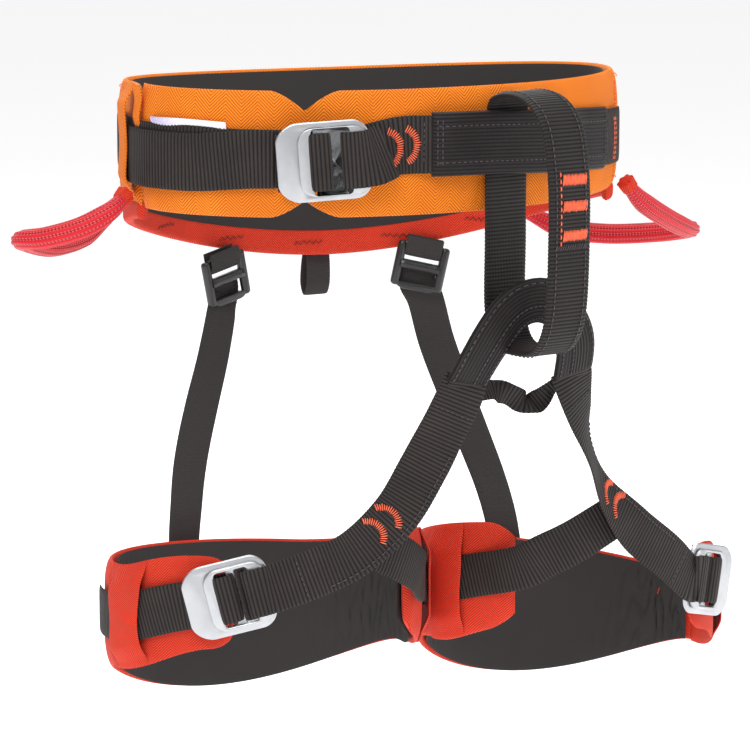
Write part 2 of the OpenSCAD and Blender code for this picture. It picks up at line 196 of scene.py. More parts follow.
BELT = BeltShape()
LEG = LegShape()


@dataclass
class Station:
    """One place on a route: its centre, the way it runs, the way to its side and its face."""

    centre: Vector
    along: Vector
    aside: Vector
    face: Vector


class Route:
    """A smooth path for a strap or a cord, measured by its length."""

    def __init__(self, points: Sequence[Vector], faces: Sequence[Vector] | None = None,
                 closed: bool = False) -> None:
        """Runs a smooth curve through the points.

        Args:
            points: What the route goes through.
            faces: The way the strap's flat side looks at each point, up for a cord.
            closed: Whether its end joins its start.
        """
        faces = faces or [Vector((0, 0, 1))] * len(points)
        self.closed = closed
        self.points: list[Vector] = []
        self.faces: list[Vector] = []
        spans = len(points) if closed else len(points) - 1
        for i in range(spans):
            for k in range(16):
                self.points.append(self._curve(points, i, k / 16))
                self.faces.append(self._curve(faces, i, k / 16))
        self.points.append(points[0].copy() if closed else points[-1].copy())
        self.faces.append(faces[0].copy() if closed else faces[-1].copy())
        self.marks = [0.0]
        for a, b in zip(self.points, self.points[1:]):
            self.marks.append(self.marks[-1] + (b - a).length)
        self.length = self.marks[-1]

    def _curve(self, items: Sequence[Vector], i: int, t: float) -> Vector:
        """The smooth curve's value a share t past item i."""
        n = len(items)
        a, b, c, d = (items[k % n] if self.closed else items[max(0, min(n - 1, k))]
                      for k in (i - 1, i, i + 1, i + 2))
        return 0.5 * (2 * b + (c - a) * t + (2 * a - 5 * b + 4 * c - d) * t ** 2
                      + (3 * b - a - 3 * c + d) * t ** 3)

    def _place(self, s: float) -> tuple[Vector, Vector]:
        """The centre and face at a length along the route."""
        s = s % self.length if self.closed else max(0.0, min(self.length, s))
        low, high = 0, len(self.marks) - 1
        while high - low > 1:
            half = (low + high) // 2
            low, high = (half, high) if self.marks[half] <= s else (low, half)
        t = (s - self.marks[low]) / max(1e-9, self.marks[high] - self.marks[low])
        return self.points[low].lerp(self.points[high], t), self.faces[low].lerp(self.faces[high], t)

    def at(self, s: float) -> Station:
        """The station at a length along the route.

        Args:
            s: Length from the route's start in metres.

        Returns:
            Its centre and three directions square to each other.
        """
        step = 0.0015
        centre, face = self._place(s)
        if self.closed:
            along = (self._place(s + step)[0] - self._place(s - step)[0]).normalized()
        else:
            along = (self._place(min(self.length, s + step))[0]
                     - self._place(max(0, s - step))[0]).normalized()
        aside = along.cross(face).normalized()
        return Station(centre, along, aside, aside.cross(along))

    def point(self, s: float, across: float, out: float) -> Vector:
        """A point beside the route: across it to its side, and out from its face."""
        here = self.at(s)
        return here.centre + here.aside * across + here.face * out


def belt_route(start: float, end: float, out: Callable[[float], float],
               z: Callable[[float], float] = lambda q: 0.0,
               step: float = 3.0) -> Route:
    """A route round the belt.

    Args:
        start: First angle in degrees.
        end: Last angle.
        out: Distance outside the padding's middle at each angle.
        z: Height at each angle.
        step: Degrees between the points that it goes through.

    Returns:
        The route, facing outwards.
    """
    count = max(2, math.ceil(abs(end - start) / step))
    angles = [mix(start, end, k / count) for k in range(count + 1)]
    return Route([BELT.point(q, out(q), z(q)) for q in angles], [BELT.normal(q) for q in angles])


# ---- Mesh work ----


def deselect() -> None:
    """Leaves nothing selected, so that an operator acts on the new piece only."""
    if bpy.context.mode != "OBJECT":
        bpy.ops.object.mode_set(mode="OBJECT")
    bpy.ops.object.select_all(action="DESELECT")


def focus(*pieces: bpy.types.Object) -> None:
    """Selects the pieces and makes the first one active."""
    deselect()
    for piece in pieces:
        piece.select_set(True)
    bpy.context.view_layer.objects.active = pieces[0]


def tidy_mesh(piece: bpy.types.Object, angle: float = 50.0) -> None:
    """Merges doubled points, turns the faces outwards and smooths all but sharp edges.

    Args:
        piece: The piece to tidy.
        angle: Edges sharper than this many degrees stay crisp.
    """
    focus(piece)
    bpy.ops.object.mode_set(mode="EDIT")
    bpy.ops.mesh.select_all(action="SELECT")
    bpy.ops.mesh.remove_doubles(threshold=2e-6)
    bpy.ops.mesh.normals_make_consistent(inside=False)
    bpy.ops.object.mode_set(mode="OBJECT")
    bpy.ops.object.shade_smooth_by_angle(angle=math.radians(angle))
    deselect()


def apply(piece: bpy.types.Object, kind: str, **settings: object) -> None:
    """Adds a modifier to a piece and applies it.

    Args:
        piece: The piece to change.
        kind: The modifier's type.
        **settings: Its settings by name.
    """
    focus(piece)
    modifier = piece.modifiers.new(kind.title(), kind)
    for name, value in settings.items():
        setattr(modifier, name, value)
    bpy.ops.object.modifier_apply(modifier=modifier.name)
    deselect()


def settle(piece: bpy.types.Object) -> bpy.types.Object:
    """Puts a piece's place, turn and size into its mesh, so that its object sits at the origin."""
    focus(piece)
    bpy.ops.object.transform_apply(location=True, rotation=True, scale=True)
    deselect()
    return piece


def closed_sheet(name: str, rows: int, spots: Sequence[float], place: Callable[[float, float, Face], Vector],
                 flat: Callable[[float, float], tuple[float, float]], ring: bool = False,
                 angle: float = 60.0) -> bpy.types.Object:
    """A closed solid between two faces that meet along its edges, from a grid wrapped round it.

    Args:
        name: The piece's name.
        rows: Steps along it.
        spots: Places across it from -1 to 1, where the faces meet at the first and last.
        place: Where a point goes, from its share along, its place across and its face, 1 or -1.
        flat: Its place on the UV map in metres, from the same share and place across.
        ring: Whether its end joins its start. Otherwise its ends are closed by place itself.
        angle: Edges sharper than this many degrees stay crisp.

    Returns:
        The piece.
    """
    across = len(spots) - 1
    deselect()
    bpy.ops.mesh.primitive_grid_add(x_subdivisions=rows, y_subdivisions=2 * across, size=1.0,
                                    location=(0, 0, 0))
    piece = bpy.context.active_object
    piece.name = piece.data.name = name
    mesh = piece.data
    uvs: list[tuple[float, float]] = []
    for vertex in mesh.vertices:
        i = round((vertex.co.x + 0.5) * rows)
        j = round((vertex.co.y + 0.5) * 2 * across)
        face = 1 if j <= across else -1
        spot = spots[j] if face == 1 else spots[2 * across - j]
        share = i / rows
        uvs.append(flat(share, spot))
        vertex.co = place(share % 1.0 if ring else share, spot, face)
    layer = mesh.uv_layers[0]
    for loop in mesh.loops:
        layer.data[loop.index].uv = uvs[loop.vertex_index]
    tidy_mesh(piece, angle)
    return piece


STRAP_SPOTS = (-1, -0.975, -0.91, -0.78, -0.5, -0.17, 0.17, 0.5, 0.78, 0.91, 0.975, 1)


@dataclass(frozen=True)
class Webbing:
    """A woven strap: its size and the ribs of its weave."""

    width: float = 0.032
    thickness: float = 0.002
    pitch: float = 0.0025
    depth: float = 0.00034
    grain: Grain = Grain.ACROSS
    slack: float = 0.0003
    crown: float = 0.0

    def lay(self, name: str, route: Route, seed: float = 0.0) -> bpy.types.Object:
        """Lays the strap along a route.

        Args:
            name: The piece's name.
            route: Where it runs.
            seed: Which small waves it has.

        Returns:
            The strap as one closed piece.
        """
        ribs = max(2, round(route.length / self.pitch))
        pitch = route.length / ribs
        if self.grain is Grain.ACROSS:
            rows, spots = ribs * 4, STRAP_SPOTS
        else:
            lines = round(self.width / self.pitch)
            rows = max(8, round(route.length / 0.003))
            spots = tuple(-1 + 2 * k / (lines * 4) for k in range(lines * 4 + 1))
        half = self.width / 2
        stations: dict[float, Station] = {}

        def height(share: float, spot: float) -> float:
            body = (self.thickness / 2 * math.sqrt(max(0.0, 1 - abs(spot) ** 8))
                    + self.crown * (1 - spot * spot))
            if self.grain is Grain.ACROSS:
                rib = abs(math.sin(math.pi * share * ribs))
            else:
                rib = abs(math.sin(math.pi * (spot + 1) * half / self.pitch))
            edge = 1 - smooth((abs(spot) - 0.9) * 12) * (0.0 if self.grain is Grain.ACROSS else 1.0)
            return max(0.0, body - self.depth * (1 - rib) * edge)

        def place(share: float, spot: float, face: Face) -> Vector:
            if share not in stations:
                here = route.at(share * route.length)
                if not route.closed:
                    fade = smooth(min(share, 1 - share) * 8)
                    here.centre = (here.centre
                                   + here.face * ripple(here.centre, 0.03, seed) * self.slack * fade)
                stations[share] = here
            here = stations[share]
            ended = not route.closed and (share == 0 or share == 1)
            y = 0.0 if ended or abs(spot) == 1 else height(share, spot)
            saw = 0.00022 * abs(math.sin(math.pi * share * ribs)) if self.grain is Grain.ACROSS else 0.0
            return here.centre + here.aside * spot * (half - 0.00022 + saw) + here.face * y * face

        def flat(share: float, spot: float) -> tuple[float, float]:
            return share * ribs * self.pitch, spot * half

        return closed_sheet(name, rows, spots, place, flat, ring=route.closed)


def tube(name: str, route: Route, radius: Callable[[float, float], float], sides: int, step: float,
         squash: Callable[[float], tuple[float, float]] = lambda share: (1.0, 1.0)) -> bpy.types.Object:
    """A round cord along a route, closed at its ends unless the route is.

    Args:
        name: The piece's name.
        route: Where it runs.
        radius: Its radius from the share along it and the angle round it in radians.
        sides: How many sides it has.
        step: Length of its rows.
        squash: Its width and height as shares of the radius, along it.

    Returns:
        The cord.
    """
    rows = max(4, round(route.length / step))
    deselect()
    bpy.ops.mesh.primitive_grid_add(x_subdivisions=rows, y_subdivisions=sides, size=1.0, location=(0, 0, 0))
    piece = bpy.context.active_object
    piece.name = piece.data.name = name
    mesh = piece.data
    stations = [route.at(route.length * i / rows) for i in range(rows + 1)]
    if route.closed:
        stations[-1] = stations[0]
    uvs: list[tuple[float, float]] = []
    for vertex in mesh.vertices:
        i = round((vertex.co.x + 0.5) * rows)
        j = round((vertex.co.y + 0.5) * sides)
        share, turn = i / rows, 2 * math.pi * (j % sides) / sides
        here = stations[i]
        r = radius(share, turn)
        if not route.closed and i in (0, rows):
            r = 0.0
        wide, high = squash(share)
        uvs.append((share * route.length, j / sides * 2 * math.pi * radius(0.5, 0.0)))
        vertex.co = (here.centre + here.aside * math.cos(turn) * r * wide
                     + here.face * math.sin(turn) * r * high)
    layer = mesh.uv_layers[0]
    for loop in mesh.loops:
        layer.data[loop.index].uv = uvs[loop.vertex_index]
    tidy_mesh(piece, 70)
    return piece


@dataclass(frozen=True)
class Thread:
    """Sewing thread, laid as separate stitches that dip into the cloth at their ends."""

    radius: float = 0.00045

    def sew(self, name: str, stitches: Iterable[tuple[Vector, Vector, Vector]]) -> bpy.types.Object:
        """Models one stitch and copies it to each place.

        Args:
            name: The seam's name.
            stitches: Each stitch's two ends and the way out of the cloth.

        Returns:
            The seam as one piece.
        """
        deselect()
        bpy.ops.mesh.primitive_cylinder_add(vertices=6, radius=1, depth=2, end_fill_type="TRIFAN",
                                            location=(0, 0, 0))
        model = bpy.context.active_object
        bpy.ops.object.mode_set(mode="EDIT")
        bpy.ops.mesh.select_all(action="SELECT")
        bpy.ops.mesh.bisect(plane_co=(0, 0, 0.45), plane_no=(0, 0, 1))
        bpy.ops.mesh.select_all(action="SELECT")
        bpy.ops.mesh.bisect(plane_co=(0, 0, -0.45), plane_no=(0, 0, 1))
        bpy.ops.object.mode_set(mode="OBJECT")
        for vertex in model.data.vertices:
            reach = abs(vertex.co.z)
            vertex.co.x *= 1 - 0.45 * smooth((reach - 0.45) * 2)
            vertex.co.y = (vertex.co.y * (1 - 0.45 * smooth((reach - 0.45) * 2))
                           - 0.9 * smooth((reach - 0.3) * 1.5))
        bpy.ops.object.shade_smooth()
        copies: list[bpy.types.Object] = []
        for start, end, out in stitches:
            z_axis = (end - start) / 2
            y_axis = (out - z_axis * out.dot(z_axis) / z_axis.length_squared).normalized() * self.radius
            x_axis = y_axis.cross(z_axis).normalized() * self.radius
            copy = model.copy()
            copy.data = model.data.copy()
            centre = (start + end) / 2
            copy.data.transform(Matrix((x_axis, y_axis, z_axis)).transposed().to_4x4())
            copy.data.transform(Matrix.Translation(centre))
            bpy.context.collection.objects.link(copy)
            copies.append(copy)
        bpy.data.objects.remove(model)
        focus(*copies)
        bpy.ops.object.join()
        seam = bpy.context.active_object
        seam.name = seam.data.name = name
        deselect()
        return seam


def dashes(route: Route, start: float, end: float, across: float, out: float, stitch: float = 0.0026,
           space: float = 0.0012) -> list[tuple[Vector, Vector, Vector]]:
    """A straight row of stitches along a strap.

    Args:
        route: The strap's route.
        start: Length along the route of the first stitch.
        end: Length of the last.
        across: Distance from the strap's middle.
        out: Height of the thread above the route.
        stitch: Length of a stitch.
        space: Length between two.

    Returns:
        The stitches.
    """
    made = []
    s = start
    while s + stitch <= end:
        made.append((route.point(s, across, out), route.point(s + stitch, across, out), route.at(s).face))
        s += stitch + space
    return made


def cross_dashes(route: Route, s: float, reach: float, out: float, stitch: float = 0.0024,
                 space: float = 0.0012) -> list[tuple[Vector, Vector, Vector]]:
    """A row of stitches straight across a strap, out to reach on both sides of its middle."""
    made = []
    x = -reach
    while x + stitch <= reach:
        made.append((route.point(s, x, out), route.point(s, x + stitch, out), route.at(s).face))
        x += stitch + space
    return made


def bartack(route: Route, s: float, reach: float, length: float, out: float, count: int, shift: float = 0.0,
            seed: int = 1) -> list[tuple[Vector, Vector, Vector]]:
    """A dense zigzag patch that runs across a strap.

    Args:
        route: The strap's route.
        s: Length along it of the patch's middle.
        reach: Half of its width across the strap.
        length: How far each stitch runs along the strap.
        out: Height of the thread above the route.
        count: Number of stitches.
        shift: Moves the patch across the strap.
        seed: Which small irregularities it has.

    Returns:
        The stitches.
    """
    rng = random.Random(seed)
    made = []
    for k in range(count):
        x = shift + mix(-reach, reach, k / (count - 1))
        slant = reach / count
        a = route.point(s - length / 2 + rng.uniform(-3e-4, 3e-4), x - slant, out)
        b = route.point(s + length / 2 + rng.uniform(-3e-4, 3e-4), x + slant, out)
        made.append((a, b, route.at(s).face))
    return made


def arc_tack(route: Route, s: float, radius: float, span: float, length: float, out: float, count: int,
             facing: int = 1, shift: float = 0.0, seed: int = 1) -> list[tuple[Vector, Vector, Vector]]:
    """A curved patch of stitches that point outwards from a centre.

    Args:
        route: The strap's route.
        s: Length along it of the curve's centre.
        radius: Radius of the curve's middle.
        span: Degrees from one end of the curve to its other.
        length: Length of each stitch.
        out: Height of the thread above the route.
        count: Number of stitches.
        facing: 1 where the curve bulges towards the route's end.
        shift: Moves the centre across the strap.
        seed: Which small irregularities it has.

    Returns:
        The stitches.
    """
    rng = random.Random(seed)
    made = []
    for k in range(count):
        turn = math.radians(mix(-span / 2, span / 2, k / (count - 1)))
        near = radius - length / 2 + rng.uniform(-3e-4, 3e-4)
        far = radius + length / 2 + rng.uniform(-4e-4, 4e-4)
        a = route.point(s + facing * near * math.cos(turn), shift + near * math.sin(turn), out)
        b = route.point(s + facing * far * math.cos(turn), shift + far * math.sin(turn), out)
        made.append((a, b, route.at(s).face))
    return made


# ---- Finishes ----


class Graph:
    """A node tree being built, with short ways to add and join its nodes."""

    def __init__(self, tree: bpy.types.NodeTree) -> None:
        """Takes an empty tree."""
        self.tree = tree

    def node(self, kind: str, **settings: object) -> bpy.types.Node:
        """Adds a node of a kind with its settings."""
        made = self.tree.nodes.new(kind)
        for name, value in settings.items():
            setattr(made, name, value)
        return made

    def join(self, source: bpy.types.NodeSocket, target: bpy.types.NodeSocket) -> None:
        """Links one socket to another."""
        self.tree.links.new(source, target)

    def feed(self, target: bpy.types.NodeSocket, value: object) -> None:
        """Gives a socket a number or another socket's value."""
        if isinstance(value, bpy.types.NodeSocket):
            self.join(value, target)
        else:
            target.default_value = value

    def math(self, operation: str, first: object, second: object = 0.0,
             third: object = 0.5) -> bpy.types.NodeSocket:
        """Adds a sum of two or three values."""
        made = self.node("ShaderNodeMath", operation=operation)
        for socket, value in zip(made.inputs, (first, second, third)):
            self.feed(socket, value)
        return made.outputs[0]

    def blend(self, share: object, first: object, second: object, mode: str = "MIX") -> bpy.types.NodeSocket:
        """Adds a mix of two colours."""
        made = self.node("ShaderNodeMix", data_type="RGBA", blend_type=mode)
        self.feed(made.inputs[0], share)
        for socket, value in ((made.inputs[6], first), (made.inputs[7], second)):
            self.feed(socket, (*value, 1.0) if isinstance(value, tuple) and len(value) == 3 else value)
        return made.outputs[2]

    def noise(self, place: bpy.types.NodeSocket, scale: object, detail: float = 3.0,
              rough: float = 0.55) -> bpy.types.NodeSocket:
        """Adds a noise of a scale, read at a place."""
        made = self.node("ShaderNodeTexNoise")
        self.join(place, made.inputs["Vector"])
        self.feed(made.inputs["Scale"], scale)
        made.inputs["Detail"].default_value = detail
        made.inputs["Roughness"].default_value = rough
        return made.outputs["Fac"]

    def wave(self, value: object) -> bpy.types.NodeSocket:
        """A smooth wave from 0 to 1, once for each unit of the value."""
        turn = self.math("MULTIPLY", value, 2 * math.pi)
        return self.math("MULTIPLY_ADD", self.math("COSINE", turn), 0.5, 0.5)


def node_group(name: str, inputs: Sequence[tuple[str, str, float]], outputs: Sequence[tuple[str, str]],
               build: Callable[[Graph, bpy.types.Node, bpy.types.Node], None]) -> bpy.types.NodeTree:
    """A shader node group, built the first time that it is asked for.

    Args:
        name: The group's name.
        inputs: Name, socket type and usual value of each input.
        outputs: Name and socket type of each output.
        build: Fills the group, from its graph, its input node and its output node.

    Returns:
        The group.
    """
    if name in bpy.data.node_groups:
        return bpy.data.node_groups[name]
    tree = bpy.data.node_groups.new(name, "ShaderNodeTree")
    for label, kind, value in inputs:
        socket = tree.interface.new_socket(label, in_out="INPUT", socket_type=kind)
        if kind == "NodeSocketFloat":
            socket.default_value = value
    for label, kind in outputs:
        tree.interface.new_socket(label, in_out="OUTPUT", socket_type=kind)
    graph = Graph(tree)
    build(graph, graph.node("NodeGroupInput"), graph.node("NodeGroupOutput"))
    return tree


def _fibre(graph: Graph, given: bpy.types.Node, out: bpy.types.Node) -> None:
    """Fills the fibre group: uneven dye and loose yarn ends."""
    large = graph.noise(given.outputs["Place"], given.outputs["Patches"], 2.0)
    fine = graph.noise(given.outputs["Place"], given.outputs["Yarns"], 2.0, 0.7)
    both = graph.math("ADD", graph.math("MULTIPLY", graph.math("SUBTRACT", large, 0.5), 0.9),
                      graph.math("MULTIPLY", graph.math("SUBTRACT", fine, 0.5), 0.8))
    graph.join(graph.math("ADD", both, 0.5), out.inputs["Tone"])
    graph.join(fine, out.inputs["Fuzz"])


def fibre_group() -> bpy.types.NodeTree:
    """Uneven colour and fuzz of woven cloth, read from Object coordinates."""
    return node_group("Fibre", (("Place", "NodeSocketVector", 0), ("Patches", "NodeSocketFloat", 45.0),
                                ("Yarns", "NodeSocketFloat", 1400.0)),
                      (("Tone", "NodeSocketFloat"), ("Fuzz", "NodeSocketFloat")), _fibre)


def _ribs(graph: Graph, given: bpy.types.Node, out: bpy.types.Node) -> None:
    """Fills the rib group: rounded ribs with yarns that cross them."""
    step = graph.math("DIVIDE", given.outputs["Length"], given.outputs["Pitch"])
    ridge = graph.math("ABSOLUTE", graph.math("SINE", graph.math("MULTIPLY", step, math.pi)))
    yarn = graph.wave(graph.math("DIVIDE", given.outputs["Across"], given.outputs["Yarn"]))
    graph.join(ridge, out.inputs["Ridge"])
    graph.join(graph.math("ADD", graph.math("MULTIPLY", ridge, 0.35), graph.math("MULTIPLY", yarn, 0.65)),
               out.inputs["Height"])


def rib_group() -> bpy.types.NodeTree:
    """Ribs of a strap's weave, read from its UV map in metres."""
    return node_group("Ribs", (("Length", "NodeSocketFloat", 0.0), ("Across", "NodeSocketFloat", 0.0),
                               ("Pitch", "NodeSocketFloat", 0.0025), ("Yarn", "NodeSocketFloat", 0.0008)),
                      (("Ridge", "NodeSocketFloat"), ("Height", "NodeSocketFloat")), _ribs)


def _twill(graph: Graph, given: bpy.types.Node, out: bpy.types.Node) -> None:
    """Fills the twill group: slanting ribs that turn back at each column."""
    sway = graph.math("PINGPONG", given.outputs["Length"], given.outputs["Column"])
    rise = graph.math("DIVIDE", graph.math("ADD", given.outputs["Across"], sway), given.outputs["Rib"])
    fall = graph.math("DIVIDE", graph.math("SUBTRACT", given.outputs["Across"], sway), given.outputs["Rib"])
    rib = graph.wave(rise)
    cut = graph.wave(graph.math("MULTIPLY", fall, 1.5))
    body = graph.math("ADD", graph.math("MULTIPLY", rib, 0.75), graph.math("MULTIPLY", cut, 0.25))
    graph.join(body, out.inputs["Height"])


def twill_group() -> bpy.types.NodeTree:
    """Herringbone twill, read from a UV map in metres."""
    return node_group("Herringbone", (("Length", "NodeSocketFloat", 0.0), ("Across", "NodeSocketFloat", 0.0),
                                      ("Column", "NodeSocketFloat", 0.01),
                                      ("Rib", "NodeSocketFloat", 0.0014)),
                      (("Height", "NodeSocketFloat"),), _twill)


def _wear(graph: Graph, given: bpy.types.Node, out: bpy.types.Node) -> None:
    """Fills the wear group: soft smudges and fine scratches."""
    smudge = graph.noise(given.outputs["Place"], given.outputs["Smudge"], 3.0)
    long = graph.node("ShaderNodeMapping")
    long.inputs["Scale"].default_value = (1.0, 1.0, 14.0)
    graph.join(given.outputs["Place"], long.inputs["Vector"])
    scratch = graph.noise(long.outputs[0], given.outputs["Scratch"], 5.0, 0.75)
    sharp = graph.math("SMOOTH_MAX", graph.math("MULTIPLY", graph.math("SUBTRACT", scratch, 0.55), 5.0), 0.0)
    graph.join(smudge, out.inputs["Smudges"])
    graph.join(graph.math("MINIMUM", sharp, 1.0), out.inputs["Scratches"])
    graph.join(scratch, out.inputs["Grain"])


def wear_group() -> bpy.types.NodeTree:
    """Smudges, scratches and grain of a hard part, read from Object coordinates."""
    return node_group("Wear", (("Place", "NodeSocketVector", 0), ("Smudge", "NodeSocketFloat", 60.0),
                               ("Scratch", "NodeSocketFloat", 420.0)),
                      (("Smudges", "NodeSocketFloat"), ("Scratches", "NodeSocketFloat"),
                       ("Grain", "NodeSocketFloat")),
                      _wear)


def new_material(name: str) -> tuple[bpy.types.Material, Graph, bpy.types.Node]:
    """An empty material with its surface shader.

    Args:
        name: The material's name.

    Returns:
        The material, its graph and its Principled BSDF.
    """
    material = bpy.data.materials.new(name)
    material.use_nodes = True
    material.node_tree.nodes.clear()
    graph = Graph(material.node_tree)
    shader = graph.node("ShaderNodeBsdfPrincipled")
    graph.join(shader.outputs[0], graph.node("ShaderNodeOutputMaterial").inputs["Surface"])
    return material, graph, shader


def placed_group(graph: Graph, tree: bpy.types.NodeTree, **values: object) -> bpy.types.Node:
    """Adds a group to a material and feeds its inputs."""
    made = graph.node("ShaderNodeGroup", node_tree=tree)
    for name, value in values.items():
        graph.feed(made.inputs[name], value)
    return made


def flat_place(graph: Graph) -> tuple[bpy.types.NodeSocket, bpy.types.NodeSocket]:
    """The length and the place across, from the piece's UV map in metres."""
    split = graph.node("ShaderNodeSeparateXYZ")
    graph.join(graph.node("ShaderNodeUVMap", uv_map="UVMap").outputs[0], split.inputs[0])
    return split.outputs[0], split.outputs[1]


def solid_place(graph: Graph) -> bpy.types.NodeSocket:
    """Object coordinates."""
    return graph.node("ShaderNodeTexCoord").outputs["Object"]


def bump(graph: Graph, shader: bpy.types.Node, height: bpy.types.NodeSocket, distance: float,
         strength: float = 1.0) -> None:
    """Feeds a height to a shader's normal."""
    made = graph.node("ShaderNodeBump")
    made.inputs["Distance"].default_value = distance
    made.inputs["Strength"].default_value = strength
    graph.join(height, made.inputs["Height"])
    graph.join(made.outputs[0], shader.inputs["Normal"])


@dataclass(frozen=True)
class RibbedWeave:
    """Nylon webbing: yarns over ribs, with painted shade that darkens the hollows between the ribs."""

    name: str
    rib: Color
    groove: Color
    pitch: float = 0.0025
    grain: Grain = Grain.ACROSS
    yarn: float = 0.0009
    gloss: float = 0.46
    sheen: float = 0.02
    relief: float = 0.00016

    def material(self) -> bpy.types.Material:
        """Builds the finish."""
        material, graph, shader = new_material(self.name)
        along, across = flat_place(graph)
        if self.grain is Grain.ALONG:
            along, across = across, along
        ribs = placed_group(graph, rib_group(), Length=along, Across=across, Pitch=self.pitch, Yarn=self.yarn)
        fibre = placed_group(graph, fibre_group(), Place=solid_place(graph))
        # Painted shade: the colour runs from the rib colour on the ridges to a near-black shaded colour in
        # the hollows between ribs.
        tone = graph.blend(ribs.outputs["Ridge"], self.groove, self.rib)
        shade = graph.math("MULTIPLY_ADD", fibre.outputs["Tone"], 0.9, 0.55)
        bright = graph.node("ShaderNodeCombineColor")
        for channel in bright.inputs[:3]:
            graph.join(shade, channel)
        graph.join(graph.blend(1.0, tone, bright.outputs[0], "MULTIPLY"), shader.inputs["Base Color"])
        rough = graph.math("SUBTRACT", self.gloss + 0.3, graph.math("MULTIPLY", ribs.outputs["Ridge"], 0.3))
        graph.join(rough, shader.inputs["Roughness"])
        shader.inputs["Sheen Weight"].default_value = self.sheen
        shader.inputs["Sheen Roughness"].default_value = 0.4
        shader.inputs["Specular IOR Level"].default_value = 0.22
        height = graph.math("ADD", ribs.outputs["Height"], graph.math("MULTIPLY", fibre.outputs["Fuzz"], 0.5))
        bump(graph, shader, height, self.relief, 0.8)
        return material


@dataclass(frozen=True)
class TwillCloth:
    """Herringbone twill of the padding's shell, with painted shade in the twill's furrows."""

    name: str
    rib: Color
    groove: Color
    column: float = 0.010
    rib_pitch: float = 0.0021
    relief: float = 0.00034

    def material(self) -> bpy.types.Material:
        """Builds the finish."""
        material, graph, shader = new_material(self.name)
        along, across = flat_place(graph)
        twill = placed_group(graph, twill_group(), Length=along, Across=across, Column=self.column,
                             Rib=self.rib_pitch)
        fibre = placed_group(graph, fibre_group(), Place=solid_place(graph), Patches=30.0)
        # Painted shade: the twill's low furrows take the darker shaded colour; the random dull patches below
        # are pulled towards that same colour.
        share = graph.math("MINIMUM", graph.math("MULTIPLY", twill.outputs["Height"], 1.35), 1.0)
        tone = graph.blend(share, self.groove, self.rib)
        dull = graph.math("MULTIPLY", graph.math("SUBTRACT", 0.72, fibre.outputs["Tone"]), 0.55)
        clear = graph.math("MAXIMUM", graph.math("MINIMUM", dull, 1.0), 0.0)
        graph.join(graph.blend(clear, tone, self.groove), shader.inputs["Base Color"])
        graph.join(graph.math("SUBTRACT", 0.82, graph.math("MULTIPLY", share, 0.18)),
                   shader.inputs["Roughness"])
        shader.inputs["Sheen Weight"].default_value = 0.03
        shader.inputs["Sheen Roughness"].default_value = 0.5
        shader.inputs["Specular IOR Level"].default_value = 0.15
        height = graph.math("ADD", twill.outputs["Height"],
                            graph.math("MULTIPLY", fibre.outputs["Fuzz"], 0.25))
        bump(graph, shader, height, self.relief, 0.85)
        return material


@dataclass(frozen=True)
class MeshLining:
    """Dark spacer cloth with small cells whose middles are darkened with painted shade, on the side that
    faces the wearer.
    """

    name: str
    thread: Color
    hole: Color
    cell: float = 0.0016

    def material(self) -> bpy.types.Material:
        """Builds the finish."""
        material, graph, shader = new_material(self.name)
        uv = graph.node("ShaderNodeUVMap", uv_map="UVMap")
        cells = graph.node("ShaderNodeTexVoronoi", feature="DISTANCE_TO_EDGE")
        cells.inputs["Scale"].default_value = 1 / self.cell
        cells.inputs["Randomness"].default_value = 0.35
        graph.join(uv.outputs[0], cells.inputs["Vector"])
        wall = graph.math("MINIMUM", graph.math("MULTIPLY", cells.outputs[0], 3.2), 1.0)
        fibre = placed_group(graph, fibre_group(), Place=solid_place(graph), Patches=22.0)
        # Painted shade: each cell darkens from the thread colour at its walls to the shaded hole colour in
        # its middle.
        tone = graph.blend(graph.math("SUBTRACT", 1.0, graph.math("MULTIPLY", wall, 0.7)), self.hole,
                           self.thread)
        patch = graph.math("MAXIMUM",
                           graph.math("MULTIPLY", graph.math("SUBTRACT", fibre.outputs["Tone"], 0.5), 0.8),
                           0.0)
        graph.join(graph.blend(patch, tone, self.thread), shader.inputs["Base Color"])
        graph.join(graph.math("ADD", 0.7, graph.math("MULTIPLY", wall, 0.2)), shader.inputs["Roughness"])
        shader.inputs["Sheen Weight"].default_value = 0.02
        shader.inputs["Sheen Roughness"].default_value = 0.45
        shader.inputs["Specular IOR Level"].default_value = 0.12
        bump(graph, shader, graph.math("SUBTRACT", graph.math("MULTIPLY", fibre.outputs["Fuzz"], 0.3), wall),
             0.00022, 0.7)
        return material


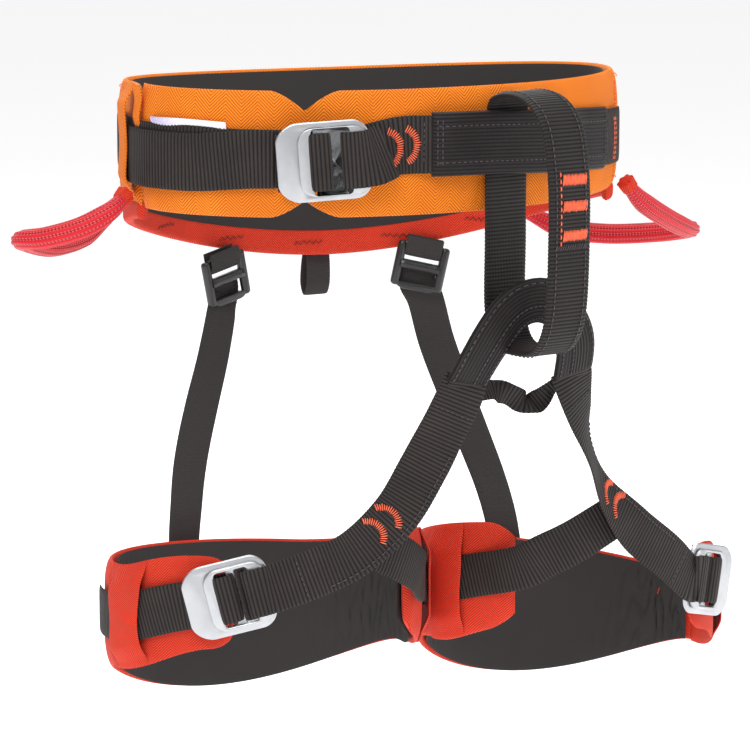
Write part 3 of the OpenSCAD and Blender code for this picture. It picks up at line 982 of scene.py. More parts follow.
@dataclass(frozen=True)
class BraidedCord:
    """Braided sheath with lengthwise ribs, painted shade in the furrows between them and a pale dashed tracer
    in each furrow.
    """

    name: str
    rib: Color
    groove: Color
    tracer: Color
    ribs: int = 10
    girth: float = 0.038
    dash: float = 0.0022

    def material(self) -> bpy.types.Material:
        """Builds the finish."""
        material, graph, shader = new_material(self.name)
        along, round_it = flat_place(graph)
        ridge = graph.math("ABSOLUTE", graph.math(
            "SINE", graph.math("MULTIPLY", round_it, math.pi * self.ribs / self.girth)))
        weave = graph.wave(graph.math("DIVIDE", along, self.dash))
        slant = graph.wave(graph.math("DIVIDE", graph.math("ADD", along, round_it), self.dash * 0.55))
        # Painted shade: the colour darkens from the rib colour to the shaded colour in the furrows between
        # ribs.
        tone = graph.blend(graph.math("POWER", ridge, 0.6), self.groove, self.rib)
        flank = graph.math("MULTIPLY", graph.math("GREATER_THAN", weave, 0.55),
                           graph.math("MULTIPLY", graph.math("LESS_THAN", ridge, 0.62),
                                      graph.math("GREATER_THAN", ridge, 0.22)))
        fibre = placed_group(graph, fibre_group(), Place=solid_place(graph), Patches=60.0)
        pale = graph.blend(graph.math("MULTIPLY", flank, 0.75), tone, self.tracer)
        graph.join(graph.blend(graph.math("MULTIPLY", fibre.outputs["Fuzz"], 0.35), pale, self.groove),
                   shader.inputs["Base Color"])
        graph.join(graph.math("SUBTRACT", 0.62, graph.math("MULTIPLY", slant, 0.16)),
                   shader.inputs["Roughness"])
        shader.inputs["Sheen Weight"].default_value = 0.04
        shader.inputs["Specular IOR Level"].default_value = 0.3
        height = graph.math("ADD", graph.math("MULTIPLY", slant, 0.5), graph.math("MULTIPLY", ridge, 0.5))
        bump(graph, shader, height, 0.0002, 0.8)
        return material


@dataclass(frozen=True)
class SewingThread:
    """Polyester thread with a twist."""

    name: str
    light: Color
    dark: Color
    gloss: float = 0.4

    def material(self) -> bpy.types.Material:
        """Builds the finish."""
        material, graph, shader = new_material(self.name)
        fibre = placed_group(graph, fibre_group(), Place=solid_place(graph), Patches=300.0, Yarns=2600.0)
        tone = graph.math("MAXIMUM", graph.math("MINIMUM", fibre.outputs["Tone"], 1.0), 0.0)
        graph.join(graph.blend(tone, self.dark, self.light), shader.inputs["Base Color"])
        graph.join(graph.math("ADD", self.gloss, graph.math("MULTIPLY", fibre.outputs["Fuzz"], 0.2)),
                   shader.inputs["Roughness"])
        bump(graph, shader, fibre.outputs["Fuzz"], 0.0001, 0.6)
        return material


@dataclass(frozen=True)
class SatinAluminium:
    """Bead-blasted aluminium with smudges and fine scratches."""

    name: str = "satin aluminium"
    bright: Color = (0.60, 0.61, 0.63)
    dull: Color = (0.42, 0.43, 0.45)

    def material(self) -> bpy.types.Material:
        """Builds the finish."""
        material, graph, shader = new_material(self.name)
        wear = placed_group(graph, wear_group(), Place=solid_place(graph))
        tone = graph.blend(wear.outputs["Smudges"], self.bright, self.dull)
        graph.join(graph.blend(graph.math("MULTIPLY", wear.outputs["Scratches"], 0.35), tone,
                               (0.72, 0.72, 0.74)),
                   shader.inputs["Base Color"])
        rough = graph.math("ADD", 0.26, graph.math("MULTIPLY", wear.outputs["Smudges"], 0.22))
        graph.join(graph.math("SUBTRACT", rough, graph.math("MULTIPLY", wear.outputs["Scratches"], 0.08)),
                   shader.inputs["Roughness"])
        shader.inputs["Metallic"].default_value = 1.0
        bump(graph, shader, wear.outputs["Grain"], 0.00012, 0.35)
        return material


@dataclass(frozen=True)
class MouldedPlastic:
    """Glossy black nylon with a faint mould grain and rubbed high spots."""

    name: str = "black plastic"
    base: Color = (0.018, 0.018, 0.019)
    rubbed: Color = (0.06, 0.06, 0.062)

    def material(self) -> bpy.types.Material:
        """Builds the finish."""
        material, graph, shader = new_material(self.name)
        wear = placed_group(graph, wear_group(), Place=solid_place(graph), Smudge=90.0, Scratch=300.0)
        graph.join(graph.blend(graph.math("MULTIPLY", wear.outputs["Scratches"], 0.5), self.base,
                               self.rubbed),
                   shader.inputs["Base Color"])
        graph.join(graph.math("ADD", 0.22, graph.math("MULTIPLY", wear.outputs["Smudges"], 0.2)),
                   shader.inputs["Roughness"])
        shader.inputs["Specular IOR Level"].default_value = 0.6
        bump(graph, shader, wear.outputs["Grain"], 0.0001, 0.3)
        return material


@dataclass(frozen=True)
class SatinTape:
    """Shiny woven label tape with lilac and pale bands, blank."""

    name: str = "label tape"
    pale: Color = (0.86, 0.83, 0.88)
    lilac: Color = (0.33, 0.28, 0.62)

    def material(self) -> bpy.types.Material:
        """Builds the finish."""
        material, graph, shader = new_material(self.name)
        along, across = flat_place(graph)
        fibre = placed_group(graph, fibre_group(), Place=solid_place(graph), Patches=38.0, Yarns=900.0)
        drift = graph.math("ADD", graph.math("MULTIPLY", along, -28.0), fibre.outputs["Tone"])
        share = graph.math("MAXIMUM", graph.math("MINIMUM", graph.math("ADD", drift, 0.2), 0.75), 0.0)
        graph.join(graph.blend(share, self.pale, self.lilac), shader.inputs["Base Color"])
        weave = graph.wave(graph.math("DIVIDE", across, 0.0006))
        graph.join(graph.math("ADD", 0.22, graph.math("MULTIPLY", weave, 0.12)), shader.inputs["Roughness"])
        bump(graph, shader, weave, 0.00006, 0.5)
        return material


# Painted shade: the second colour of each twill, webbing, braid and mesh finish below is the shaded colour of
# the hollows in its weave.
ORANGE_TWILL = TwillCloth("orange twill", srgb(255, 146, 36), srgb(172, 62, 4))
CORAL_TWILL = TwillCloth("coral twill", srgb(238, 70, 44), srgb(150, 28, 18), column=0.012, rib_pitch=0.0018)
BLACK_WEBBING = RibbedWeave("black webbing", srgb(52, 46, 44), srgb(3, 2, 2))
SLEEVE_WEBBING = RibbedWeave("sleeve webbing", srgb(42, 36, 37), srgb(5, 4, 4), pitch=0.0023,
                             grain=Grain.ALONG)
LOOP_WEBBING = RibbedWeave("belay webbing", srgb(44, 39, 38), srgb(5, 4, 4), pitch=0.0024, yarn=0.0012)
ELASTIC = RibbedWeave("elastic", srgb(42, 40, 37), srgb(16, 15, 13), pitch=0.0013, yarn=0.0011, gloss=0.62,
                      sheen=0.05, relief=0.00012)
LINING = MeshLining("lining", srgb(27, 19, 19), srgb(7, 4, 4))
RED_BRAID = BraidedCord("red braid", srgb(222, 24, 40), srgb(130, 6, 14), srgb(244, 130, 134))
ORANGE_THREAD = SewingThread("orange thread", srgb(255, 128, 86), srgb(226, 74, 40))
BLACK_THREAD = SewingThread("black thread", srgb(96, 84, 92), srgb(38, 32, 36), gloss=0.3)
CORAL_THREAD = SewingThread("coral thread", srgb(240, 86, 52), srgb(190, 48, 30))
DARK_THREAD = SewingThread("dark red thread", srgb(120, 22, 18), srgb(58, 8, 8))
ALUMINIUM = SatinAluminium()
PLASTIC = MouldedPlastic()
TAPE = SatinTape()

Finish = (RibbedWeave | TwillCloth | MeshLining | BraidedCord | SewingThread | SatinAluminium
          | MouldedPlastic | SatinTape)


def dress(piece: bpy.types.Object, finish: Finish, body: str, slot: str, *nodes: str) -> bpy.types.Object:
    """Gives a piece its finish and tells the frame where it belongs.

    Args:
        piece: The finished piece.
        finish: Its finish.
        body: The CAD body that it rides on, or nothing where it bends between two.
        slot: The record's material slot for its finish; not used.
        *nodes: The CAD nodes that it stands for.

    Returns:
        The piece.
    """
    material = bpy.data.materials.get(finish.name) or finish.material()
    piece.data.materials.clear()
    piece.data.materials.append(material)
    if nodes:
        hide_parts(*nodes)
    if body:
        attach(piece, body)
    LOG.info("%s: %d faces, %s", piece.name, len(piece.data.polygons), finish.name)
    return piece


# ---- Sub-assemblies ----


@dataclass
class PaddedBelt:
    """The waist belt's padding: two front pads, the lumbar pad and its coral lower band."""

    pad_top: float = 0.041
    pad_drop: float = 0.037
    notch_top: float = 0.0285
    notch_low: float = 0.0265
    split: float = 235.2
    right_corner: float = 184.5
    left_corner: float = 330.0
    inside: float = -0.0048
    outside: float = 0.0022
    lining_gap: float = 0.0004
    lining_t: float = 0.0012
    lumbar: tuple[float, float] = (-29.0, 181.0)
    lumbar_mid: float = 78.0
    lumbar_drop: float = 0.080

    def front_edges(self, angle: float) -> tuple[float, float]:
        """Lower and upper edge of the front pads, which dip towards the split."""
        away = min(1.0, abs(angle - self.split) / 8.0)
        dip = (1 - away) ** 1.5
        fall = smooth((angle - 262) / 60) * 0.001
        return (-mix(self.pad_drop, self.notch_low, dip), mix(self.pad_top, self.notch_top, dip) - fall)

    def lumbar_edges(self, angle: float) -> tuple[float, float]:
        """Lower and upper edge of the lumbar pad, deepest in the middle of the back."""
        t = smooth(abs(angle - self.lumbar_mid) / (self.lumbar[1] - self.lumbar_mid))
        return -mix(self.lumbar_drop, self.pad_drop, t), mix(self.pad_top - 0.010, self.pad_top - 0.002, t)

    def cushion(self, name: str, start: float, end: float, edges: Callable[[float], tuple[float, float]],
                inside: float, outside: float, crown: float, seed: float, creases: Sequence[float] = (),
                round_ends: tuple[float, float] = (3.0, 3.0)) -> bpy.types.Object:
        """A pad that is crowned between its stitched edges.

        Args:
            name: The piece's name.
            start: First angle.
            end: Last angle.
            edges: Lower and upper edge at an angle.
            inside: Distance of its inner face from the padding's middle.
            outside: Distance of its outer face at the edges of the crown.
            crown: How much it swells in the middle.
            seed: Which small lumps it has.
            creases: Angles where the cloth is gathered.
            round_ends: Degrees over which each end thins out.

        Returns:
            The pad.
        """
        arc0 = BELT.arc(start)
        rows = round(abs(end - start) / 0.8)
        spots = tuple(math.sin(math.pi / 2 * k / 14) for k in range(-14, 15))
        middle = (inside + outside) / 2

        def place(share: float, spot: float, face: Face) -> Vector:
            angle = mix(start, end, share)
            low, high = edges(angle)
            z = mix(low, high, (spot + 1) / 2)
            thin = min(smooth((angle - start) / round_ends[0]), smooth((end - angle) / round_ends[1]))
            body = (1 - abs(spot) ** 5) ** 0.5 * math.sqrt(thin)
            here = BELT.point(angle, 0, z)
            lump = ripple(here, 0.028, seed) * 0.0006 + ripple(here, 0.009, seed + 5) * 0.00018
            for crease in creases:
                near = math.exp(-((angle - crease) / 2.6) ** 2)
                lump -= near * 0.0011 * (0.6 + 0.4 * math.cos(z * 900))
            swell = crown * (1 - spot ** 2) * thin
            if face == 1:
                out = middle + (outside - middle + swell + lump) * body
            else:
                out = middle - (middle - inside + lump * 0.3) * body
            return BELT.point(angle, out, z)

        def flat(share: float, spot: float) -> tuple[float, float]:
            angle = mix(start, end, share)
            low, high = edges(angle)
            return arc0 + (BELT.arc(angle) - arc0), mix(low, high, (spot + 1) / 2)

        return closed_sheet(name, rows, spots, place, flat)

    def lining(self, name: str, start: float, end: float, edges: Callable[[float], tuple[float, float]],
               seed: float) -> bpy.types.Object:
        """The thin lining over a pad's inner face, a little short of its edges."""
        outer = self.inside - self.lining_gap

        def place(share: float, spot: float, face: Face) -> Vector:
            angle = mix(start, end, share)
            low, high = edges(angle)
            z = mix(low + 0.0011, high - 0.0013, (spot + 1) / 2)
            rim = 1 - abs(spot) ** 10
            here = BELT.point(angle, 0, z)
            puff = 0.0007 * (1 - abs(spot) ** 3) * (0.5 + ripple(here, 0.024, seed))
            ended = 0.0 if share in (0.0, 1.0) else 1.0
            half = self.lining_t / 2 * math.sqrt(max(0.0, rim)) * ended
            return BELT.point(angle, outer - self.lining_t / 2 - puff * ended + half * face, z)

        def flat(share: float, spot: float) -> tuple[float, float]:
            angle = mix(start, end, share)
            low, high = edges(angle)
            return BELT.arc(angle), mix(low, high, (spot + 1) / 2)

        spots = (-1, -0.985, -0.94, -0.8, -0.6, -0.4, -0.2, 0, 0.2, 0.4, 0.6, 0.8, 0.94, 0.985, 1)
        return closed_sheet(name, round((end - start) / 1.5), spots, place, flat)

    def build(self) -> None:
        """Builds the padding."""
        front = self.front_edges
        right = self.cushion("front_pad_shell_right", self.right_corner, self.split + 0.6, front, self.inside,
                             self.outside, 0.0016, 1.0, (self.right_corner + 1.5,), (2.0, 7.0))
        dress(right, ORANGE_TWILL, "waist_belt", "orange_twill", "front_pad_right")
        left = self.cushion("front_pad_shell_left", self.split + 0.4, self.left_corner, front, self.inside,
                            self.outside, 0.0016, 2.0, (self.left_corner - 6.5,), (7.0, 2.0))
        dress(left, ORANGE_TWILL, "waist_belt", "orange_twill", "front_pad_left")
        for name, start, end, seed in (("right", self.right_corner + 1, self.split - 0.5, 3.0),
                                       ("left", self.split + 1.5, self.left_corner - 1, 4.0)):
            sheet = self.lining(f"front_lining_cloth_{name}", start, end, front, seed)
            dress(sheet, LINING, "waist_belt", "lining", f"front_lining_{name}")
        lumbar = self.cushion("lumbar_shell", *self.lumbar, self.lumbar_edges, self.inside, 0.0030, 0.0010,
                              6.0,
                              (), (2.0, 2.0))
        dress(lumbar, ORANGE_TWILL, "waist_belt", "orange_twill", "lumbar_pad")
        sheet = self.lining("lumbar_lining_cloth", self.lumbar[0] + 1, self.lumbar[1] - 1, self.lumbar_edges,
                            7.0)
        dress(sheet, LINING, "waist_belt", "lining", "lumbar_lining")
        self.lower_band()
        self.back_seams()

    def band_edges(self, angle: float) -> tuple[float, float]:
        """Lower and upper edge of the coral band."""
        low = self.lumbar_edges(angle)[0]
        depth = mix(0.016, 0.009, smooth(abs(angle - self.lumbar_mid) / 100))
        return low - depth, low + 0.0030

    def lower_band(self) -> None:
        """The coral band round the lumbar pad's lower edge, with its bartacks."""
        band = self.cushion("coral_lower_band", *self.lumbar, self.band_edges, self.inside - 0.0012, 0.0012,
                            0.0006,
                            8.0, (), (2.0, 2.0))
        dress(band, CORAL_TWILL, "waist_belt", "coral_twill", "lumbar_lower_band")
        stitches: list[tuple[Vector, Vector, Vector]] = []
        rng = random.Random(4)
        for angle in (40.0, 62.0, 84.0, 105.0, 128.0):
            low, high = self.band_edges(angle)
            for k in range(9):
                q = angle - 3.2 + 0.8 * k
                z = mix(low, high, 0.48) + 0.0012 * (-1) ** k + rng.uniform(-3e-4, 3e-4)
                out = self.inside - 0.0021
                stitches.append((BELT.point(q, out, z), BELT.point(q + 0.8, out, z - 0.0024 * (-1) ** k),
                                 -BELT.normal(q)))
        dress(Thread(0.00028).sew("band_bartacks", stitches), DARK_THREAD, "waist_belt", "coral_twill")

    def back_seams(self) -> None:
        """Dashed seams on the outside of the lumbar pad and down the front pads' corners."""
        stitches: list[tuple[Vector, Vector, Vector]] = []
        for inset, from_low in ((0.0055, True), (0.0045, False)):
            q = self.lumbar[0] + 3
            while q < self.lumbar[1] - 3:
                low, high = self.lumbar_edges(q)
                low2, high2 = self.lumbar_edges(q + 1.0)
                z0, z1 = (low + inset, low2 + inset) if from_low else (high - inset, high2 - inset)
                out = 0.0030
                stitches.append((BELT.point(q, out, z0), BELT.point(q + 1.0, out, z1), BELT.normal(q)))
                q += 1.5
        for corner, step in ((self.left_corner - 3.6, 0.0036), (self.right_corner + 4.0, 0.0036)):
            z = -self.pad_drop + 0.007
            while z < self.pad_top - 0.008:
                out = self.outside + 0.0013 + 0.0010 * (1 - ((z - 0.004) / 0.040) ** 2)
                stitches.append((BELT.point(corner, out, z), BELT.point(corner, out, z + 0.0024),
                                 BELT.normal(corner)))
                z += step
        dress(Thread(0.0003).sew("belt_edge_seams", stitches), CORAL_THREAD, "waist_belt", "orange_twill")


@dataclass
class WaistStraps:
    """The waist webbing, its tail, keeper tab, side tunnel and care label."""

    width: float = 0.036
    thickness: float = 0.002
    out: float = 0.0056
    tail_out: float = 0.0082
    buckle_a: float = 239.5

    def build(self) -> None:
        """Builds the straps on the waist belt's right side."""
        strap = Webbing(self.width, self.thickness)
        route = belt_route(160, self.buckle_a + 6.6, lambda q: self.out,
                           lambda q: 0.0012 * smooth((222 - q) / 16))
        dress(strap.lay("waist_webbing", route, 1.0), BLACK_WEBBING, "waist_belt", "black_webbing",
              "waist_strap")
        tail = belt_route(172, self.buckle_a - 11, lambda q: self.tail_out + 0.0004 * math.sin(q / 5),
                          lambda q: -0.0034 * smooth((226 - q) / 20))
        dress(strap.lay("waist_webbing_tail", tail, 2.0), BLACK_WEBBING, "waist_belt", "black_webbing",
              "waist_strap_tail")
        self.tab()
        self.tunnel()
        self.label()

    def tab(self) -> None:
        """The keeper tab, folded over the webbing and narrower at its foot."""
        out = 0.0066

        def place(share: float, spot: float, face: Face) -> Vector:
            z = mix(0.0400, 0.0120, share)
            wide = mix(2.7, 2.0, smooth(share * 1.6))
            angle = 186.9 + spot * wide
            ended = 0.0 if share in (0.0, 1.0) else 1.0
            body = 0.0009 * math.sqrt(max(0.0, 1 - abs(spot) ** 6)) * ended
            over = out - 0.0022 * smooth((0.022 - z) / 0.008) - 0.0012 * math.sin(share * 5)
            return BELT.point(angle, over + 0.0004 * ripple(Vector((z, spot * 0.01, 0)), 0.01) + body * face,
                              z)

        tab = closed_sheet("keeper_tab", 26, (-1, -0.9, -0.6, -0.2, 0.2, 0.6, 0.9, 1), place,
                           lambda share, spot: (spot * 0.008, share * 0.030))
        dress(tab, ORANGE_TWILL, "waist_belt", "orange_twill", "strap_keeper_tab")

    def tunnel(self) -> None:
        """The standing tunnel on the side, with the webbing behind it."""
        def place(share: float, spot: float, face: Face) -> Vector:
            z = mix(0.0405, -0.0315, share)
            angle = mix(173, 182.5, (spot + 1) / 2)
            stand = smooth(share * 5) * smooth((1 - share) * 5)
            base = mix(0.0045, 0.0106 + 0.0006 * math.sin(share * 9), stand)
            ended = 0.0 if share in (0.0, 1.0) else 1.0
            body = 0.0011 * math.sqrt(max(0.0, 1 - abs(spot) ** 10)) * ended
            return BELT.point(angle, base + body * face, z)

        spots = (-1, -0.98, -0.92, -0.75, -0.5, -0.25, 0, 0.25, 0.5, 0.75, 0.92, 0.98, 1)
        tunnel = closed_sheet("side_tunnel_cloth", 36, spots, place,
                              lambda share, spot: (spot * 0.018, share * 0.072))
        dress(tunnel, ORANGE_TWILL, "waist_belt", "orange_twill", "side_tunnel")

    def label(self) -> None:
        """The blank satin label that stands just above the webbing."""
        def place(share: float, spot: float, face: Face) -> Vector:
            angle = mix(194, 217, share)
            z = mix(0.0125, 0.0225, (spot + 1) / 2) + 0.0006 * math.sin(share * 4)
            ended = 0.0 if share in (0.0, 1.0) or abs(spot) == 1 else 1.0
            out = 0.0052 + 0.0005 * math.sin(share * 7) + 0.0012 * spot
            return BELT.point(angle, out + 0.00025 * face * ended, z)

        label = closed_sheet("blank_care_label", 24, (-1, -0.95, -0.5, 0, 0.5, 0.95, 1), place,
                             lambda share, spot: (share * 0.055, spot * 0.005))
        dress(label, TAPE, "waist_belt", "label_tape", "care_label")


@dataclass
class TieIn:
    """The webbing from the buckle to the left corner, with its sewn sleeve."""

    width: float = 0.036
    thickness: float = 0.002
    belay_a: float = 280.0
    sleeve: tuple[float, float] = (262.0, 316.0)

    def stand(self, angle: float) -> float:
        """How far the webbing's middle stands off the padding's middle."""
        return mix(0.0056, 0.0125, smooth(2.2 - abs(angle - self.belay_a) / 11))

    def rise(self, angle: float) -> float:
        """How far the webbing bows upwards between the buckle and the belay loop."""
        return 0.0075 * smooth((angle - 242) / 16) - 0.0090 * smooth((angle - 266) / 64)

    def build(self) -> None:
        """Builds the webbing, the sleeve and their stitching."""
        route = belt_route(246.5, 329.4, self.stand, self.rise)
        webbing = Webbing(self.width, self.thickness).lay("tie_in_strap", route, 3.0)
        dress(webbing, BLACK_WEBBING, "waist_belt", "black_webbing", "tie_in_webbing")
        cover_route = belt_route(*self.sleeve, self.stand, self.rise)
        cover = Webbing(self.width + 0.0042, 0.0062, 0.0023, 0.00038, Grain.ALONG, 0.0002, 0.0003)
        dress(cover.lay("tie_in_cover", cover_route, 4.0), SLEEVE_WEBBING, "waist_belt", "black_webbing",
              "tie_in_sleeve")
        thread = Thread(0.00042)
        tacks = arc_tack(route, self.along(route, 252.0), 0.0115, 124, 0.0046, 0.00145, 19, seed=2)
        tacks += arc_tack(route, self.along(route, 255.6), 0.0115, 124, 0.0046, 0.00145, 19, seed=3)
        for shift, count in ((-0.0012, 9), (0.0022, 9)):
            s = self.along(route, 323.0) + shift
            for k in range(count):
                x = mix(-0.0125, 0.0125, k / (count - 1))
                bend = 0.002 * (1 - (x / 0.0125) ** 2)
                tacks.append((route.point(s + bend, x, 0.0014), route.point(s + bend, x + 0.0024, 0.0014),
                              route.at(s).face))
        dress(thread.sew("tie_in_bartacks", tacks), ORANGE_THREAD, "waist_belt", "black_webbing")
        top = 0.0036
        seams = dashes(cover_route, 0.004, cover_route.length - 0.003, 0.0112, top - 0.0002)
        seams += dashes(cover_route, 0.004, cover_route.length - 0.003, -0.0112, top - 0.0002)
        for s in (0.0035, 0.0065, cover_route.length - 0.0035, cover_route.length - 0.0065):
            seams += cross_dashes(cover_route, s, 0.015, top)
        for s in (self.along(route, 249.2), self.along(route, 261.0)):
            seams += cross_dashes(route, s, 0.0135, 0.0013)
        dress(Thread(0.00034).sew("tie_in_seams", seams), BLACK_THREAD, "waist_belt", "black_webbing")

    def along(self, route: Route, angle: float) -> float:
        """The length along the tie-in webbing's route at an angle round the belt."""
        return route.length * (angle - 246.5) / (329.4 - 246.5)


BELAY_PATH = ((8, 25), (18, 36), (43, 36), (62, 22), (70, -8), (71, -50), (68, -95), (56, -117), (35, -121.5),
              (15, -118), (7, -97), (7, -55), (7, -18))


@dataclass
class BelayLoop:
    """The sewn ring of thick webbing between the tie-in webbing and the bridge."""

    angle: float = 280.0
    width: float = 0.032
    thickness: float = 0.004

    def route(self) -> Route:
        """The closed route round the loop, facing outwards from its hole."""
        out = BELT.normal(self.angle)
        points = [BELT.point(self.angle, r * MM, z * MM) for r, z in BELAY_PATH]
        count = len(BELAY_PATH)
        faces = []
        for i in range(count):
            a, b = BELAY_PATH[i - 1], BELAY_PATH[(i + 1) % count]
            run = Vector((b[0] - a[0], b[1] - a[1])).normalized()
            faces.append(out * -run.y + Vector((0, 0, run.x)))
        return Route(points, faces, closed=True)

    def build(self) -> None:
        """Builds the ring, its three bartacks and its dark edge stitching."""
        route = self.route()
        ring = Webbing(self.width, self.thickness, 0.0024, 0.00036, slack=0.0).lay("belay_ring", route, 5.0)
        dress(ring, LOOP_WEBBING, "belay_loop", "black_webbing", "belay_loop")
        level = {z: self.front(route, z * MM) for z in (-11, -27.5, -45, -52, -7)}
        out = self.thickness / 2 + 0.0004
        sign = 1 if route.at(level[-27.5]).face.dot(BELT.normal(self.angle)) > 0 else -1
        tacks: list[tuple[Vector, Vector, Vector]] = []
        for z, seed in ((-11, 1), (-27.5, 2), (-45, 3)):
            tacks += bartack(route, level[z], 0.0086, 0.0066, out * sign, 17, -0.0030, seed)
        tacks += dashes(route, min(level[-7], level[-52]), max(level[-7], level[-52]), 0.0078, out * sign,
                        0.0028, 0.0014)
        dress(Thread(0.00046).sew("belay_bartacks", tacks), ORANGE_THREAD, "belay_loop", "black_webbing")
        dark = bartack(route, level[-52], 0.0105, 0.003, out * sign, 13, 0.0006, 6)
        dark += dashes(route, 0.0, route.length, 0.0112, out * sign, 0.0026, 0.0014)
        dark += dashes(route, 0.0, route.length, -0.0112, out * sign, 0.0026, 0.0014)
        dress(Thread(0.00034).sew("belay_seams", dark), BLACK_THREAD, "belay_loop", "black_webbing")

    def front(self, route: Route, z: float) -> float:
        """The length along the route where its front strand passes a height."""
        out = BELT.normal(self.angle)
        centre = BELT.point(self.angle, 0.040, 0)
        best, found = 1.0, 0.0
        for k in range(400):
            s = route.length * k / 400
            spot = route.at(s).centre
            if (spot - centre).dot(out) > 0.01 and abs(spot.z - z) < best:
                best, found = abs(spot.z - z), s
        return found


GEAR_PATHS = {
    Side.RIGHT: ((-178, -17, -26), (-191, -24, -35), (-209, -20, -45), (-227, -6, -52), (-235, 12, -55),
                 (-224, 30, -60), (-199, 48, -66), (-172, 64, -64), (-148, 76, -54)),
    Side.LEFT: ((161, -54, -34), (177, -50, -49), (203, -38, -63), (230, -20, -74), (243, -2, -78),
                (232, 20, -82),
                (206, 42, -84), (180, 57, -80), (156, 68, -68)),
}


@dataclass
class GearLoop:
    """A stiff braided loop on the belt's side, gathered where it enters the padding."""

    side: Side
    diameter: float = 0.0138
    ribs: int = 10

    def build(self) -> None:
        """Builds the loop."""
        route = Route([Vector(p) * MM for p in GEAR_PATHS[self.side]])
        reach = route.length

        def radius(share: float, turn: float) -> float:
            ends = min(share, 1 - share) * reach
            full = mix(0.62, 1.0, smooth(ends / 0.030))
            rib = abs(math.sin(turn * self.ribs / 2))
            return self.diameter / 2 * full * (1 - 0.10 * (1 - rib))

        def squash(share: float) -> tuple[float, float]:
            bend = math.exp(-((share - 0.45) / 0.10) ** 2)
            return 1 + 0.06 * bend, 1 - 0.12 * bend

        loop = tube(f"gear_loop_braid_{self.side.word}", route, radius, self.ribs * 6, 0.0018, squash)
        dress(loop, RED_BRAID, f"gear_loop_{self.side.word}", "red_braid", f"gear_loop_{self.side.word}")
        self.cuff(route, 0.0, "front")

    def cuff(self, route: Route, s: float, word: str) -> None:
        """A gathered coral cuff where the loop goes into the belt."""
        run = [route.point(s + (d if s == 0.0 else -d), 0, 0) for d in (-0.0, 0.004, 0.009)]
        short = Route(run)

        def radius(share: float, turn: float) -> float:
            fold = 1 + 0.10 * math.sin(turn * 7 + share * 2)
            return (0.0058 - 0.0008 * share) * fold

        cuff = tube(f"gear_cuff_{self.side.word}_{word}", short, radius, 42, 0.001)
        dress(cuff, CORAL_TWILL, f"gear_loop_{self.side.word}", "coral_twill")


@dataclass
class HaulLoop:
    """The small webbing loop under the middle of the back."""

    x: float = 0.028
    top: float = -0.093
    width: float = 0.018

    def build(self) -> None:
        """Builds the loop."""
        path = ((3, 0), (1.5, -12), (2, -24), (6.5, -31), (11, -24), (10, -12), (7, 0))
        faces = ((-1, 0), (-1, 0), (-0.8, -0.5), (0, -1), (0.8, -0.5), (1, 0), (1, 0))
        route = Route([Vector((self.x, BELT.half_d + y * MM, self.top + z * MM)) for y, z in path],
                      [Vector((0, y, z)) for y, z in faces])
        loop = Webbing(self.width, 0.0016, 0.0016, 0.00018, slack=0.0).lay("haul_webbing", route, 9.0)
        dress(loop, ELASTIC, "haul_loop", "black_webbing", "haul_loop")


